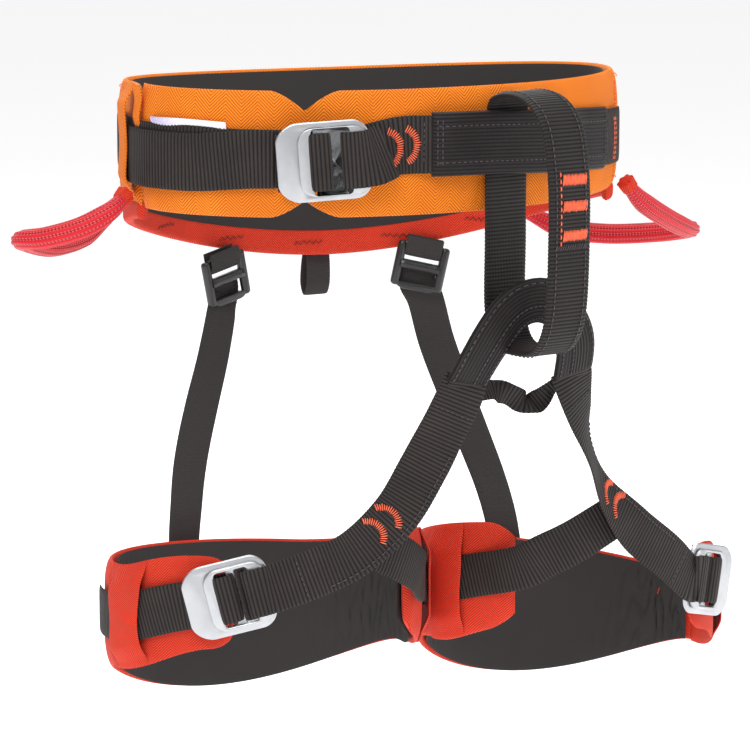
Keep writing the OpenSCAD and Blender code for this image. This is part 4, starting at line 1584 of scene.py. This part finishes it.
@dataclass
class Risers:
    """The elastic straps that hold up the leg loops at the back, with their buckles."""

    width: float = 0.025
    spread: float = 26.0
    tilt: float = 12.0
    out: float = -0.0095
    z: float = -0.105
    routes: dict[Side, tuple[tuple[float, ...], ...]] = field(default_factory=lambda: {
        Side.RIGHT: ((-54, 106, -129, -0.2, 1, 0), (-61, 104, -158, -0.1, 1, 0), (-72, 100, -190, 0, 1, 0),
                     (-82, 95, -222, 0, 1, 0), (-89, 89, -255, -0.1, 1, 0), (-92, 86.5, -284, -0.2, 1, 0)),
        Side.LEFT: ((97, 98, -129, 0.5, 1, 0), (105, 97, -158, 0.4, 1, 0), (117, 95, -190, 0.2, 1, 0),
                    (130, 93, -222, 0.1, 1, 0), (143, 90, -256, 0, 1, 0), (151, 87, -286, 0, 1, 0),
                    (155, 86, -312, 0, 1, 0)),
    })

    def seat(self, side: Side) -> Matrix:
        """Where a buckle sits: its own -Y looks at the wearer's back."""
        angle = 82.0 - side.value * self.spread
        n = BELT.normal(angle)
        spot = BELT.point(angle, self.out, self.z)
        return (Matrix.Translation(spot) @ Matrix.Rotation(math.atan2(-n.x, n.y), 4, "Z")
                @ Matrix.Rotation(math.radians(side.value * self.tilt), 4, "Y"))

    def build(self) -> None:
        """Builds both sides."""
        for side in Side:
            self.ladder(side)
            self.anchor(side)
            self.strap(side)

    def ladder(self, side: Side) -> None:
        """A ladder buckle: rounded side rails, three bars and a ridged grip bar."""
        wide, tall, deep = 0.034, 0.034, 0.004
        body = plate(f"ladder_buckle_{side.word}", rounded_outline(wide, tall, 0.009, 40, bulge=0.0), deep)
        for z in (0.0076, -0.0076):
            cut(body, plate("slot", rounded_outline(wide - 0.0084, 0.0088, 0.0016, 24), 0.02), (0, 0, z))
        apply(body, "BEVEL", width=0.0011, segments=3, limit_method="ANGLE", angle_limit=math.radians(40))
        rails = []
        for x in (-1, 1):
            deselect()
            bpy.ops.mesh.primitive_cylinder_add(vertices=20, radius=0.0031, depth=tall - 0.003,
                                                location=(x * (wide / 2 - 0.0026), 0, 0))
            rail = bpy.context.active_object
            settle(rail)
            apply(rail, "BEVEL", width=0.0022, segments=4, limit_method="ANGLE", angle_limit=math.radians(50))
            for vertex in rail.data.vertices:
                vertex.co.x += x * 0.0010 * (1 - (vertex.co.z / 0.017) ** 2)
            rails.append(rail)
        deselect()
        bpy.ops.mesh.primitive_cylinder_add(vertices=8, radius=0.0034, depth=wide - 0.007,
                                            location=(0, -0.0010, 0),
                                            rotation=(0, math.pi / 2, 0))
        grip = settle(bpy.context.active_object)
        bpy.context.view_layer.objects.active = grip
        focus(grip)
        bpy.ops.object.mode_set(mode="EDIT")
        for x in (-0.010, -0.005, 0.0, 0.005, 0.010):
            bpy.ops.mesh.select_all(action="SELECT")
            bpy.ops.mesh.bisect(plane_co=(x, 0, 0), plane_no=(1, 0, 0))
        bpy.ops.object.mode_set(mode="OBJECT")
        for vertex in grip.data.vertices:
            notch = 0.86 if round(vertex.co.x / 0.005) % 2 and abs(vertex.co.x) < 0.011 else 1.0
            vertex.co.y = -0.0010 + (vertex.co.y + 0.0010) * notch
            vertex.co.z *= notch
        apply(grip, "BEVEL", width=0.0003, segments=2, limit_method="ANGLE", angle_limit=math.radians(25))
        joined = join([body, *rails, grip])
        joined.data.transform(self.seat(side))
        bpy.context.view_layer.objects.active = joined
        focus(joined)
        bpy.ops.object.shade_smooth_by_angle(angle=math.radians(38))
        dress(joined, PLASTIC, f"riser_buckle_{side.word}", "black_plastic", f"riser_buckle_{side.word}")

    def anchor(self, side: Side) -> None:
        """The short webbing loop round the buckle's top bar."""
        y = 3.5
        path = ((0, -y, 20, 0, -1, 0), (0, -y, 14, 0, -1, 0), (0, -1.6, 7.2, 0, -0.7, -1),
                (0, 1.6, 7.2, 0, 0.7, -1),
                (0, y, 14, 0, 1, 0), (0, y, 20, 0, 1, 0))
        seat = self.seat(side)
        turn = seat.to_3x3()
        route = Route([seat @ (Vector(p[:3]) * MM) for p in path], [turn @ Vector(p[3:]) for p in path])
        loop = Webbing(self.width, 0.0012, 0.0016, 0.00014, slack=0.0).lay(
            f"riser_anchor_loop_{side.word}", route)
        dress(loop, ELASTIC, "waist_belt", "elastic", f"riser_anchor_{side.word}")

    def strap(self, side: Side) -> None:
        """The elastic strap down to the leg loop, which rides on neither body."""
        path = self.routes[side]
        points = [Vector(p[:3]) * MM for p in path]
        faces = [Vector(p[3:]) for p in path]
        seat = self.seat(side)
        turn = seat.to_3x3()
        lead = [seat @ Vector((0, 0.0042, -0.0015)), seat @ Vector((0, 0.0046, -0.0105))]
        route = Route(lead + points, [turn @ Vector((0, 1, 0))] * 2 + faces)
        web = Webbing(self.width, 0.0018, 0.0013, 0.00010, slack=0.0006)
        piece = web.lay(f"elastic_riser_{side.word}", route, 11.0 + side.value)
        dress(piece, ELASTIC, "", "elastic", f"riser_strap_{side.word}")
        tuple(points[0])
        tuple(points[-1])
        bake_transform(piece)


def rounded_outline(wide: float, tall: float, radius: float, count: int,
                    bulge: float = 0.0) -> list[tuple[float, float]]:
    """Points round a rounded rectangle.

    Args:
        wide: Its width along X.
        tall: Its height along Z.
        radius: Radius of its corners.
        count: Number of points, a multiple of four.
        bulge: How far its left side bows outwards.

    Returns:
        The x and z of each point, anticlockwise from the right.
    """
    points = []
    quarter = count // 4
    for corner, (cx, cz) in enumerate(((1, 1), (-1, 1), (-1, -1), (1, -1))):
        for k in range(quarter):
            turn = math.radians(90 * corner + 90 * k / (quarter - 1))
            x = cx * (wide / 2 - radius) + radius * math.cos(turn)
            z = cz * (tall / 2 - radius) + radius * math.sin(turn)
            points.append((x, z))
    if bulge:
        points = [(x - bulge * max(0.0, -x / (wide / 2)) ** 2 * (1 - (z / (tall / 2)) ** 2), z) for x,
                  z in points]
    return points


def plate(name: str, outline: Sequence[tuple[float, float]], thickness: float) -> bpy.types.Object:
    """A flat plate in the XZ plane, from a filled circle that is shaped to the outline and extruded.

    Args:
        name: The piece's name.
        outline: The x and z of its points.
        thickness: Its thickness along Y.

    Returns:
        The plate, centred on the XZ plane.
    """
    deselect()
    bpy.ops.mesh.primitive_circle_add(vertices=len(outline), fill_type="NGON", location=(0, 0, 0))
    piece = bpy.context.active_object
    piece.name = piece.data.name = name
    for vertex, (x, z) in zip(piece.data.vertices, outline):
        vertex.co = (x, thickness / 2, z)
    bpy.ops.object.mode_set(mode="EDIT")
    bpy.ops.mesh.select_all(action="SELECT")
    bpy.ops.mesh.extrude_region_move(TRANSFORM_OT_translate={"value": (0, -thickness, 0)})
    bpy.ops.mesh.select_all(action="SELECT")
    bpy.ops.mesh.remove_doubles(threshold=1e-6)
    bpy.ops.mesh.normals_make_consistent(inside=False)
    bpy.ops.object.mode_set(mode="OBJECT")
    deselect()
    return piece


def cut(piece: bpy.types.Object, tool: bpy.types.Object, place: tuple[float, float, float]) -> None:
    """Cuts a tool's shape, moved to a place, out of a piece."""
    tool.data.transform(Matrix.Translation(place))
    apply(piece, "BOOLEAN", operation="DIFFERENCE", object=tool, solver="EXACT")
    bpy.data.objects.remove(tool)


def join(pieces: Sequence[bpy.types.Object]) -> bpy.types.Object:
    """Joins pieces into the first one."""
    focus(*pieces)
    bpy.ops.object.join()
    deselect()
    return pieces[0]


@dataclass
class MetalBuckle:
    """Two stacked aluminium frames: a rear one with a crescent bar and a front one that slides."""

    name: str
    seat: Matrix
    tall: float
    strap_w: float
    frame_body: str
    slider_body: str
    frame_node: str
    slider_node: str
    flip: bool = False
    frame_w: float = 0.055
    slider_w: float = 0.042
    deep: float = 0.003

    def build(self) -> None:
        """Builds both frames."""
        slot = self.strap_w + 0.0042
        rear = plate(f"{self.name}_rear_frame", rounded_outline(self.frame_w, self.tall, 0.011, 64, 0.0035),
                     self.deep)
        for x, w in ((-self.frame_w * 0.10, self.frame_w * 0.22), (self.frame_w * 0.24, self.frame_w * 0.26)):
            cut(rear, plate("slot", rounded_outline(w, slot, 0.0022, 24), 0.02), (x, 0, 0))
        self.finish(rear, self.frame_body, self.frame_node)
        front = plate(f"{self.name}_front_frame",
                      rounded_outline(self.slider_w, self.tall - 0.007, 0.0085, 64, 0.001),
                      self.deep - 0.0002)
        cut(front, plate("slot", rounded_outline(self.slider_w * 0.56, slot, 0.0024, 24), 0.02),
            (-self.slider_w * 0.04, 0, 0))
        front.data.transform(Matrix.Translation((0.005, -0.0034, 0)))
        self.finish(front, self.slider_body, self.slider_node)

    def finish(self, piece: bpy.types.Object, body: str, node: str) -> None:
        """Rounds a frame's edges, places it and dresses it."""
        apply(piece, "BEVEL", width=0.00085, segments=3, limit_method="ANGLE", angle_limit=math.radians(40))
        if self.flip:
            piece.data.transform(Matrix.Scale(-1, 4, (1, 0, 0)))
        piece.data.transform(self.seat)
        tidy_mesh(piece, 38)
        dress(piece, ALUMINIUM, body, "satin_aluminium", node)


def waist_buckle() -> None:
    """The waist buckle and the webbing loop that anchors it."""
    angle = 239.5
    n = BELT.normal(angle)
    seat = (Matrix.Translation(BELT.point(angle, 0.016, 0)) @ Matrix.Rotation(math.atan2(n.x, -n.y), 4, "Z")
            @ Matrix.Rotation(math.radians(-4), 4, "Y"))
    MetalBuckle("waist_buckle", seat, 0.0485, 0.036, "waist_belt", "waist_slider", "waist_buckle_frame",
                "waist_buckle_slider").build()
    turn = seat.to_3x3()
    path = ((39, 3.4, 3, 0, -1, 0), (34, 0.4, 1.5, -0.2, -1, 0), (29, -4.2, 0.5, -0.2, -1, 0),
            (22, -6.6, 0, 0, -1, 0),
            (14, -6.6, 0, 0.2, -1, 0), (8.5, -3.6, 0, 1, -0.5, 0), (8.2, 1.0, 0, 1, 0.4, 0),
            (12, 3.6, 0, 0.2, 1, 0))
    route = Route([seat @ (Vector(p[:3]) * MM) for p in path], [turn @ Vector(p[3:]) for p in path])
    loop = Webbing(0.035, 0.0014, slack=0.0).lay("buckle_anchor_webbing", route, 13.0)
    dress(loop, BLACK_WEBBING, "waist_belt", "black_webbing", "buckle_anchor_loop")
    over = ((-30, 5.5, 0, 0, -1, 0), (-22, 3.8, 0, 0, -1, 0), (-15, 1.5, 0, -0.3, -1, 0),
            (-11, -3.2, 0, -0.6, -1, 0),
            (-6, -5.6, 0, 0, -1, 0), (0, -5.6, 0, 0.2, -1, 0), (4.6, -3.0, 0, 1, -0.4, 0),
            (4.2, 0.8, 0, 0.5, 1, 0),
            (-2, 3.8, 0, 0, 1, 0), (-12, 5.8, 0, 0, 1, 0))
    route = Route([seat @ (Vector(p[:3]) * MM) for p in over], [turn @ Vector(p[3:]) for p in over])
    wrap = Webbing(0.0355, 0.0018, slack=0.0).lay("waist_webbing_through_buckle", route, 14.0)
    dress(wrap, BLACK_WEBBING, "waist_belt", "black_webbing")


BRIDGE_PATH = ((-39, -130, -146), (-32, -146, -119), (-17, -151, -97), (0, -152, -90.5), (17, -151, -97),
               (32, -146, -119), (39, -130, -146))


@dataclass
class Bridge:
    """The arch between the leg loops that the belay loop hangs in, with its cross strap."""

    width: float = 0.024

    def route(self) -> Route:
        """The arch's route, facing forwards."""
        points = [Vector((LEG.mid_x * 1000 + x, y, z)) * MM for x, y, z in BRIDGE_PATH]
        return Route(points, [Vector((0, -1, 0))] * len(points))

    def build(self) -> None:
        """Builds the arch, its sleeve and the cross strap."""
        route = self.route()
        web = Webbing(self.width, 0.002, slack=0.0).lay("bridge_strap", route, 15.0)
        dress(web, BLACK_WEBBING, "waist_belt", "black_webbing", "bridge_webbing")
        start, end = 0.004, route.length - 0.004
        count = 14
        inner = Route([route.at(mix(start, end, k / count)).centre for k in range(count + 1)],
                      [route.at(mix(start, end, k / count)).face for k in range(count + 1)])
        cover = Webbing(self.width + 0.0046, 0.0056, 0.0021, 0.00034, Grain.ALONG, 0.0004, 0.0002)
        dress(cover.lay("bridge_cover", inner, 16.0), SLEEVE_WEBBING, "waist_belt", "black_webbing",
              "bridge_sleeve")
        seams = dashes(inner, 0.002, inner.length - 0.002, 0.0112, 0.0030)
        seams += dashes(inner, 0.002, inner.length - 0.002, -0.0112, 0.0030)
        seams += dashes(inner, 0.002, inner.length - 0.002, 0.0035, 0.0033)
        dress(Thread(0.00034).sew("bridge_seams", seams), BLACK_THREAD, "waist_belt", "black_webbing")
        self.cross_strap()

    def cross_strap(self) -> None:
        """The twisted strap across the arch's foot, which sags and doubles over."""
        y = -119
        path = ((-38, y - 7, -147, 0, -1, 0.2), (-26, y - 4, -149, 0, -1, 0.3), (-12, y, -151, 0, -0.7, 0.6),
                (2, y, -156, 0, -1, -0.5), (14, y, -163, 0, -0.6, 0.8), (22, y, -160, 0, -1, 0.2),
                (30, y - 3, -152, 0, -0.7, -0.6), (39, y - 8, -147, 0, -1, 0.2))
        route = Route([Vector((LEG.mid_x * 1000 + p[0], p[1], p[2])) * MM for p in path],
                      [Vector(p[3:]) for p in path])
        strap = Webbing(0.015, 0.002, 0.0018, 0.0003, slack=0.0012).lay("cross_strap", route, 17.0)
        dress(strap, BLACK_WEBBING, "waist_belt", "black_webbing", "bridge_cross_strap")


@dataclass
class LegLoop:
    """One leg loop: padding, lining, tongues, strap, buckle and tail."""

    side: Side
    inside: float = -0.0048
    outside: float = 0.0022
    pad_from: float = 2.0
    pad_to: float = 226.0
    strap_w: float = 0.031
    buckle_q: float = -57.0
    buckle_z: float = -0.281

    @property
    def body(self) -> str:
        """The CAD body that it rides on."""
        return f"leg_loop_{self.side.word}"

    def edges(self, angle: float) -> tuple[float, float]:
        """Lower and upper edge of the padding."""
        top, low = LEG.top(self.side, angle), LEG.low(angle)
        keep = math.sqrt(1 - (1 - min(1.0, max(0.0, (self.pad_to - angle) / 12))) ** 2 * 0.45)
        middle, half = (top + low) / 2, (top - low) / 2 * keep
        return middle - half, middle + half

    def tongue_edges(self, angle: float) -> tuple[float, float]:
        """Lower and upper edge of the front tongue, which rounds off at its tip."""
        start = -58.0
        tip = math.sqrt(max(0.0, 1 - (1 - min(1.0, (angle - start) / 9)) ** 2))
        middle = LEG.tongue_middle(angle)
        half = mix(0.029, 0.034, smooth((angle - start) / 40)) * mix(0.55, 1.0, tip)
        return middle - half, middle + half

    def arc(self, angle: float) -> float:
        """Length round the loop from angle 0."""
        steps = 24
        total = 0.0
        for k in range(steps):
            a = math.radians(angle * (k + 0.5) / steps)
            total += math.hypot(LEG.half_w * math.sin(a), LEG.half_d * math.cos(a))
        return total * math.radians(angle) / steps

    def sheet(self, name: str, start: float, end: float, edges: Callable[[float], tuple[float, float]],
              shape: Callable[[float, float, Face], float], rows: int,
              spots: Sequence[float]) -> bpy.types.Object:
        """A closed sheet round the loop.

        Args:
            name: The piece's name.
            start: First angle.
            end: Last angle.
            edges: Lower and upper edge at an angle.
            shape: Distance outwards from the angle, the place across and the face.
            rows: Steps along it.
            spots: Places across it.

        Returns:
            The sheet.
        """
        def place(share: float, spot: float, face: Face) -> Vector:
            angle = mix(start, end, share)
            low, high = edges(angle)
            return LEG.point(self.side, angle, shape(angle, spot, face), mix(low, high, (spot + 1) / 2))

        def flat(share: float, spot: float) -> tuple[float, float]:
            angle = mix(start, end, share)
            low, high = edges(angle)
            return self.arc(angle), mix(low, high, (spot + 1) / 2)

        return closed_sheet(name, rows, spots, place, flat)

    def build(self) -> None:
        """Builds the loop."""
        self.padding()
        self.lining()
        self.tongue()
        self.inner_fold()
        self.straps()
        self.buckle()

    def padding(self) -> None:
        """The coral shell of the padding."""
        seed = 21.0 + self.side.value

        def shape(angle: float, spot: float, face: Face) -> float:
            thin = min(smooth((angle - self.pad_from) / 3), smooth((self.pad_to - angle) / 3))
            body = (1 - abs(spot) ** 5) ** 0.5 * math.sqrt(thin)
            middle = (self.inside + self.outside) / 2
            spotted = LEG.point(self.side, angle, 0, spot * 0.04)
            lump = ripple(spotted, 0.026, seed) * 0.0008
            if face == 1:
                return middle + (self.outside - middle + 0.0012 * (1 - spot * spot) + lump) * body
            return middle - (middle - self.inside) * body

        spots = tuple(math.sin(math.pi / 2 * k / 10) for k in range(-10, 11))
        piece = self.sheet(f"leg_pad_shell_{self.side.word}", self.pad_from, self.pad_to, self.edges, shape,
                           150, spots)
        dress(piece, CORAL_TWILL, self.body, "coral_twill", f"leg_pad_{self.side.word}")

    def lining(self) -> None:
        """The dark lining with soft creases where the padding bends."""
        seed = 31.0 + self.side.value

        def edges(angle: float) -> tuple[float, float]:
            low, high = self.edges(angle)
            return low + 0.0008, high - 0.0008

        def shape(angle: float, spot: float, face: Face) -> float:
            ended = 0.0 if angle in (self.pad_from, self.pad_to) else 1.0
            half = 0.0006 * math.sqrt(max(0.0, 1 - abs(spot) ** 10)) * ended
            soft = ((1 - abs(spot) ** 4) * smooth((angle - self.pad_from) / 6)
                    * smooth((self.pad_to - angle) / 6))
            here = Vector((angle * 0.0016, spot * 0.035, seed))
            crease = abs(noise.noise(Vector((here.x / 0.0075, here.y / 0.030, seed))))
            bed = smooth((70 - angle) / 50) + smooth((angle - 110) / 60)
            puff = 0.0012 * ripple(here, 0.02) - 0.0024 * bed * (1 - min(1.0, crease * 5))
            return self.inside - 0.0010 - soft * (0.0007 + puff) + half * face

        spots = tuple(math.sin(math.pi / 2 * k / 14) for k in range(-14, 15))
        piece = self.sheet(f"leg_lining_cloth_{self.side.word}", self.pad_from, self.pad_to, edges, shape,
                           260, spots)
        dress(piece, LINING, self.body, "lining", f"leg_lining_{self.side.word}")

    def tongue(self) -> None:
        """The front tongue that carries the buckle, and the band that keeps the strap's tail."""
        spots = (-1, -0.97, -0.88, -0.7, -0.45, -0.15, 0.15, 0.45, 0.7, 0.88, 0.97, 1)

        def thin(angle: float, spot: float, face: Face) -> float:
            ended = 0.0 if angle in (-58.0, 4.0) else 1.0
            seam = math.exp(-((angle + 26) / 1.0) ** 2) + math.exp(-((angle + 42) / 1.0) ** 2)
            half = 0.0017 * math.sqrt(max(0.0, 1 - abs(spot) ** 7)) * ended * (1 - 0.35 * min(1.0, seam))
            return (0.0006 + half * face + (0.0006 * min(1.0, seam) if face == 1 else 0.0)
                    + 0.0003 * ripple(Vector((angle * 0.0015, spot * 0.03, 2)), 0.015))

        piece = self.sheet(f"leg_tongue_{self.side.word}", -58.0, 4.0, self.tongue_edges, thin, 84, spots)
        dress(piece, CORAL_TWILL, self.body, "coral_twill", f"leg_keeper_{self.side.word}")
        self.band("outer", -22.0, -4.0, 0.0082)

    def band(self, word: str, start: float, end: float, out: float) -> None:
        """A folded cloth band that stands over the strap and is sewn down above and below it."""
        spots = (-1, -0.97, -0.88, -0.7, -0.45, -0.15, 0.15, 0.45, 0.7, 0.88, 0.97, 1)
        turn = (end - start)

        def place(share: float, spot: float, face: Face) -> Vector:
            middle = (start + end) / 2
            angle = (middle + spot * turn / 2 * (1 + 0.06 * math.sin(share * 8))
                     + 1.4 * math.sin(share * math.pi))
            low, high = (self.edges if middle > 0 else self.tongue_edges)(angle)
            z = mix(high - 0.0006, low + 0.0006, share)
            stand = smooth(share * 4.2) * smooth((1 - share) * 4.2)
            base = mix(0.0016, out, stand)
            ended = 0.0 if share in (0.0, 1.0) else 1.0
            half = 0.0010 * math.sqrt(max(0.0, 1 - abs(spot) ** 8)) * ended
            wave = 0.0005 * ripple(Vector((spot * 0.012, share * 0.07, middle)), 0.012)
            return LEG.point(self.side, angle, base + wave * stand + half * face, z)

        piece = closed_sheet(f"leg_band_{word}_{self.side.word}", 44, spots, place,
                             lambda share, spot: (spot * 0.013, share * 0.085))
        dress(piece, CORAL_TWILL, self.body, "coral_twill")

    def inner_fold(self) -> None:
        """The band at the padding's inner end, over the under strap."""
        self.band("inner", 184.0, 203.0, 0.0075)

    def straps(self) -> None:
        """The leg strap, the under strap and the tail, with their stitching."""
        s, x, sag = self.side.value, LEG.mid_x * 1000, lambda q: LEG.sag(self.side, q) * 1000
        low, bend = self.buckle_z * 1000 + 7, sag(self.buckle_q)
        edge = 1.3 if self.side is Side.LEFT else 0.45
        path = ((x + s * 37.5, -131.5, -139, 0, -1, 0), (x + s * 42, -129.5, -152, s * 0.2, -1, 0),
                (x + s * 50, -124, -172, s * edge * 0.5, -1, 0),
                (x + s * 61, -117, -198, s * edge, -0.8, 0.05),
                (x + s * 76, -110, -226, s * edge * 0.8, -0.9, 0.1),
                (x + s * 102, -106, low + 24 - bend * 0.2, s * 0.2, -1, 0.1),
                (x + s * 130, -102, low + 10 - bend * 0.6, s * 0.25, -1, 0.05),
                (x + s * 146, -95.5, low - bend, s * 0.45, -1, 0))
        seat = self.seat()
        turn, m = seat.to_3x3(), -s
        ends = ((m * 30, -3.8, 0, 0, -1, 0), (m * 22, -6.6, 0, 0, -1, 0), (m * 14, -6.6, 0, m * 0.2, -1, 0),
                (m * 8.6, -3.6, 0, m, -0.5, 0), (m * 8.4, 1.0, 0, m, 0.4, 0), (m * 12, 3.6, 0, m * 0.2, 1, 0))
        route = Route([Vector(p[:3]) * MM for p in path[:-1]] + [seat @ (Vector(p[:3]) * MM) for p in ends],
                      [Vector(p[3:]) for p in path[:-1]] + [turn @ Vector(p[3:]) for p in ends])
        strap = Webbing(self.strap_w, 0.002).lay(f"leg_webbing_{self.side.word}", route, 41.0 + s)
        dress(strap, BLACK_WEBBING, self.body, "black_webbing", f"leg_strap_{self.side.word}")
        tacks = arc_tack(route, 0.108, 0.0105, 124, 0.0044, 0.00145, 17, -1, -0.003 * s, 5)
        tacks += arc_tack(route, 0.121, 0.0105, 124, 0.0044, 0.00145, 17, -1, -0.003 * s, 6)
        dress(Thread(0.00042).sew(f"leg_bartacks_{self.side.word}", tacks), ORANGE_THREAD, self.body,
              "black_webbing")
        seams = cross_dashes(route, 0.024, 0.012, 0.0013)
        seams += cross_dashes(route, route.length - 0.048, 0.012, 0.0013)
        seams += dashes(route, 0.05, route.length - 0.06, -0.0115, 0.0012)
        dress(Thread(0.00032).sew(f"leg_seams_{self.side.word}", seams), BLACK_THREAD, self.body,
              "black_webbing")

        lead = [LEG.point(self.side, q, 0.0048, -0.299 + 0.0005 * (q - 186)) for q in (186, 198, 210)]
        faces = [LEG.normal(self.side, q) for q in (186, 198, 210)]
        tail = ((x + s * 36, -71, -280, -s * 0.6, -1, 0.1), (x + s * 47, -86, -270, -s * 0.4, -1, 0.1),
                (x + s * 62, -97, -260, -s * 0.2, -1, 0.1), (x + s * 85, -102, -247, 0, -1, 0.1))
        under = Route(lead + [Vector(p[:3]) * MM for p in tail], faces + [Vector(p[3:]) for p in tail])
        piece = Webbing(self.strap_w - 0.002, 0.002).lay(
            f"leg_under_webbing_{self.side.word}", under, 51.0 + s)
        dress(piece, BLACK_WEBBING, self.body, "black_webbing", f"leg_under_strap_{self.side.word}")

        angles = [mix(-44, 16, k / 16) for k in range(17)]
        end = Route([LEG.point(self.side, q, 0.0057, LEG.tongue_middle(q)) for q in angles],
                    [LEG.normal(self.side, q) for q in angles])
        piece = Webbing(self.strap_w, 0.002).lay(f"leg_webbing_tail_{self.side.word}", end, 61.0 + s)
        dress(piece, BLACK_WEBBING, self.body, "black_webbing", f"leg_tail_{self.side.word}")

    def seat(self) -> Matrix:
        """Where the buckle sits, tilted to follow the strap."""
        q, s = self.buckle_q, self.side.value
        spot = LEG.point(self.side, q, 0.013, self.buckle_z)
        a = math.radians(q)
        nx, ny = LEG.half_d * math.cos(a), LEG.half_w * math.sin(a)
        return (Matrix.Translation(spot) @ Matrix.Rotation(s * math.atan2(nx, -ny), 4, "Z")
                @ Matrix.Rotation(math.radians(s * 14), 4, "Y"))

    def buckle(self) -> None:
        """The leg buckle and the strap's turn through it."""
        seat = self.seat()
        MetalBuckle(f"leg_buckle_{self.side.word}", seat, 0.047, 0.031, self.body,
                    f"leg_slider_{self.side.word}",
                    f"leg_buckle_frame_{self.side.word}", f"leg_buckle_slider_{self.side.word}",
                    self.side is Side.LEFT, 0.052, 0.038).build()
        turn = seat.to_3x3()
        m = -1 if self.side is Side.LEFT else 1
        over = ((-30, 6.5, 0, 0, -1, 0), (-22, 4.2, 0, 0, -1, 0), (-14, 1.5, 0, -0.3, -1, 0),
                (-10, -3.2, 0, -0.6, -1, 0),
                (-5, -5.6, 0, 0, -1, 0), (0, -5.6, 0, 0.2, -1, 0), (4.2, -3.0, 0, 1, -0.4, 0),
                (3.8, 0.8, 0, 0.5, 1, 0),
                (-2, 3.8, 0, 0, 1, 0), (-12, 5.8, 0, 0, 1, 0))
        route = Route([seat @ (Vector((m * p[0], p[1], p[2])) * MM) for p in over],
                      [turn @ Vector((m * p[3], p[4], p[5])) for p in over])
        wrap = Webbing(0.0305, 0.0018, slack=0.0).lay(f"leg_webbing_through_buckle_{self.side.word}", route,
                                                      14.0)
        dress(wrap, BLACK_WEBBING, self.body, "black_webbing")


@dataclass
class Studio:
    """Camera, soft lights and a pale flat floor."""

    camera: tuple[float, float, float] = (-1.1975, -2.2632, 0.2935)
    target: tuple[float, float, float] = (0.0046, -0.0024, -0.158)
    lens: float = 192.0
    floor_z: float = -0.50

    def look(self, spot: tuple[float, float, float],
             at: tuple[float, float, float]) -> tuple[float, float, float]:
        """The turn that points a camera or light from one spot at another."""
        return tuple((Vector(at) - Vector(spot)).to_track_quat("-Z", "Y").to_euler())

    def build(self) -> None:
        """Builds the camera, the lights, the world and the floor."""
        data = bpy.data.cameras.new("studio_camera")
        data.lens, data.sensor_width = self.lens, 36.0
        camera = bpy.data.objects.new("studio_camera", data)
        camera.location, camera.rotation_euler = self.camera, self.look(self.camera, self.target)
        bpy.context.collection.objects.link(camera)
        bpy.context.scene.camera = camera
        for name, spot, size, power in (("key", (-1.5, -1.7, 1.7), 1.3, 40.0),
                                        ("fill", (1.7, -1.5, 0.7), 1.4, 15.0),
                                        ("top", (0.1, 0.3, 2.1), 1.8, 34.0),
                                        ("back", (0.6, 2.0, 0.9), 1.4, 20.0)):
            lamp = bpy.data.lights.new(f"{name}_softbox", "AREA")
            lamp.shape, lamp.size, lamp.energy = "SQUARE", size, power
            light = bpy.data.objects.new(f"{name}_softbox", lamp)
            light.location, light.rotation_euler = spot, self.look(spot, (0, 0, -0.15))
            bpy.context.collection.objects.link(light)
        world = bpy.data.worlds.new("studio")
        world.use_nodes = True
        tree = world.node_tree
        dim = tree.nodes["Background"]
        dim.inputs[0].default_value, dim.inputs[1].default_value = (1.0, 1.0, 1.0, 1.0), 0.5
        seen = tree.nodes.new("ShaderNodeBackground")
        seen.inputs[0].default_value, seen.inputs[1].default_value = (1.0, 1.0, 1.0, 1.0), 1.0
        either, path = tree.nodes.new("ShaderNodeMixShader"), tree.nodes.new("ShaderNodeLightPath")
        tree.links.new(path.outputs["Is Camera Ray"], either.inputs[0])
        tree.links.new(dim.outputs[0], either.inputs[1])
        tree.links.new(seen.outputs[0], either.inputs[2])
        tree.links.new(either.outputs[0], tree.nodes["World Output"].inputs[0])
        bpy.context.scene.world = world
        bpy.context.scene.view_settings.view_transform = "Standard"
        self.floor()

    def floor(self) -> None:
        """A pale sheet of paper under and behind the object."""
        deselect()
        bpy.ops.mesh.primitive_plane_add(size=1.0, location=(0, 0, 0))
        paper = bpy.context.active_object
        paper.name = paper.data.name = "studio_floor"
        paper.data.transform(Matrix.Diagonal((14, 14, 1, 1)))
        paper.data.transform(Matrix.Translation((0, 0, self.floor_z)))
        material, graph, shader = new_material("paper")
        grain = graph.noise(solid_place(graph), 3.0)
        graph.join(graph.blend(grain, (0.90, 0.90, 0.90), (0.93, 0.93, 0.93)), shader.inputs["Base Color"])
        shader.inputs["Roughness"].default_value = 0.9
        shader.inputs["Specular IOR Level"].default_value = 0.1
        shader.inputs["Emission Color"].default_value = (1.0, 1.0, 1.0, 1.0)
        shader.inputs["Emission Strength"].default_value = 0.45
        paper.data.materials.append(material)


def main() -> None:
    """Builds the harness from the belt down."""
    logging.basicConfig(level=logging.INFO, format="%(name)s: %(message)s")
    Studio().build()
    PaddedBelt().build()
    WaistStraps().build()
    TieIn().build()
    waist_buckle()
    BelayLoop().build()
    for side in Side:
        GearLoop(side).build()
    HaulLoop().build()
    Risers().build()
    Bridge().build()
    for side in Side:
        LegLoop(side).build()
    deselect()


if __name__ == "__main__":
    main()
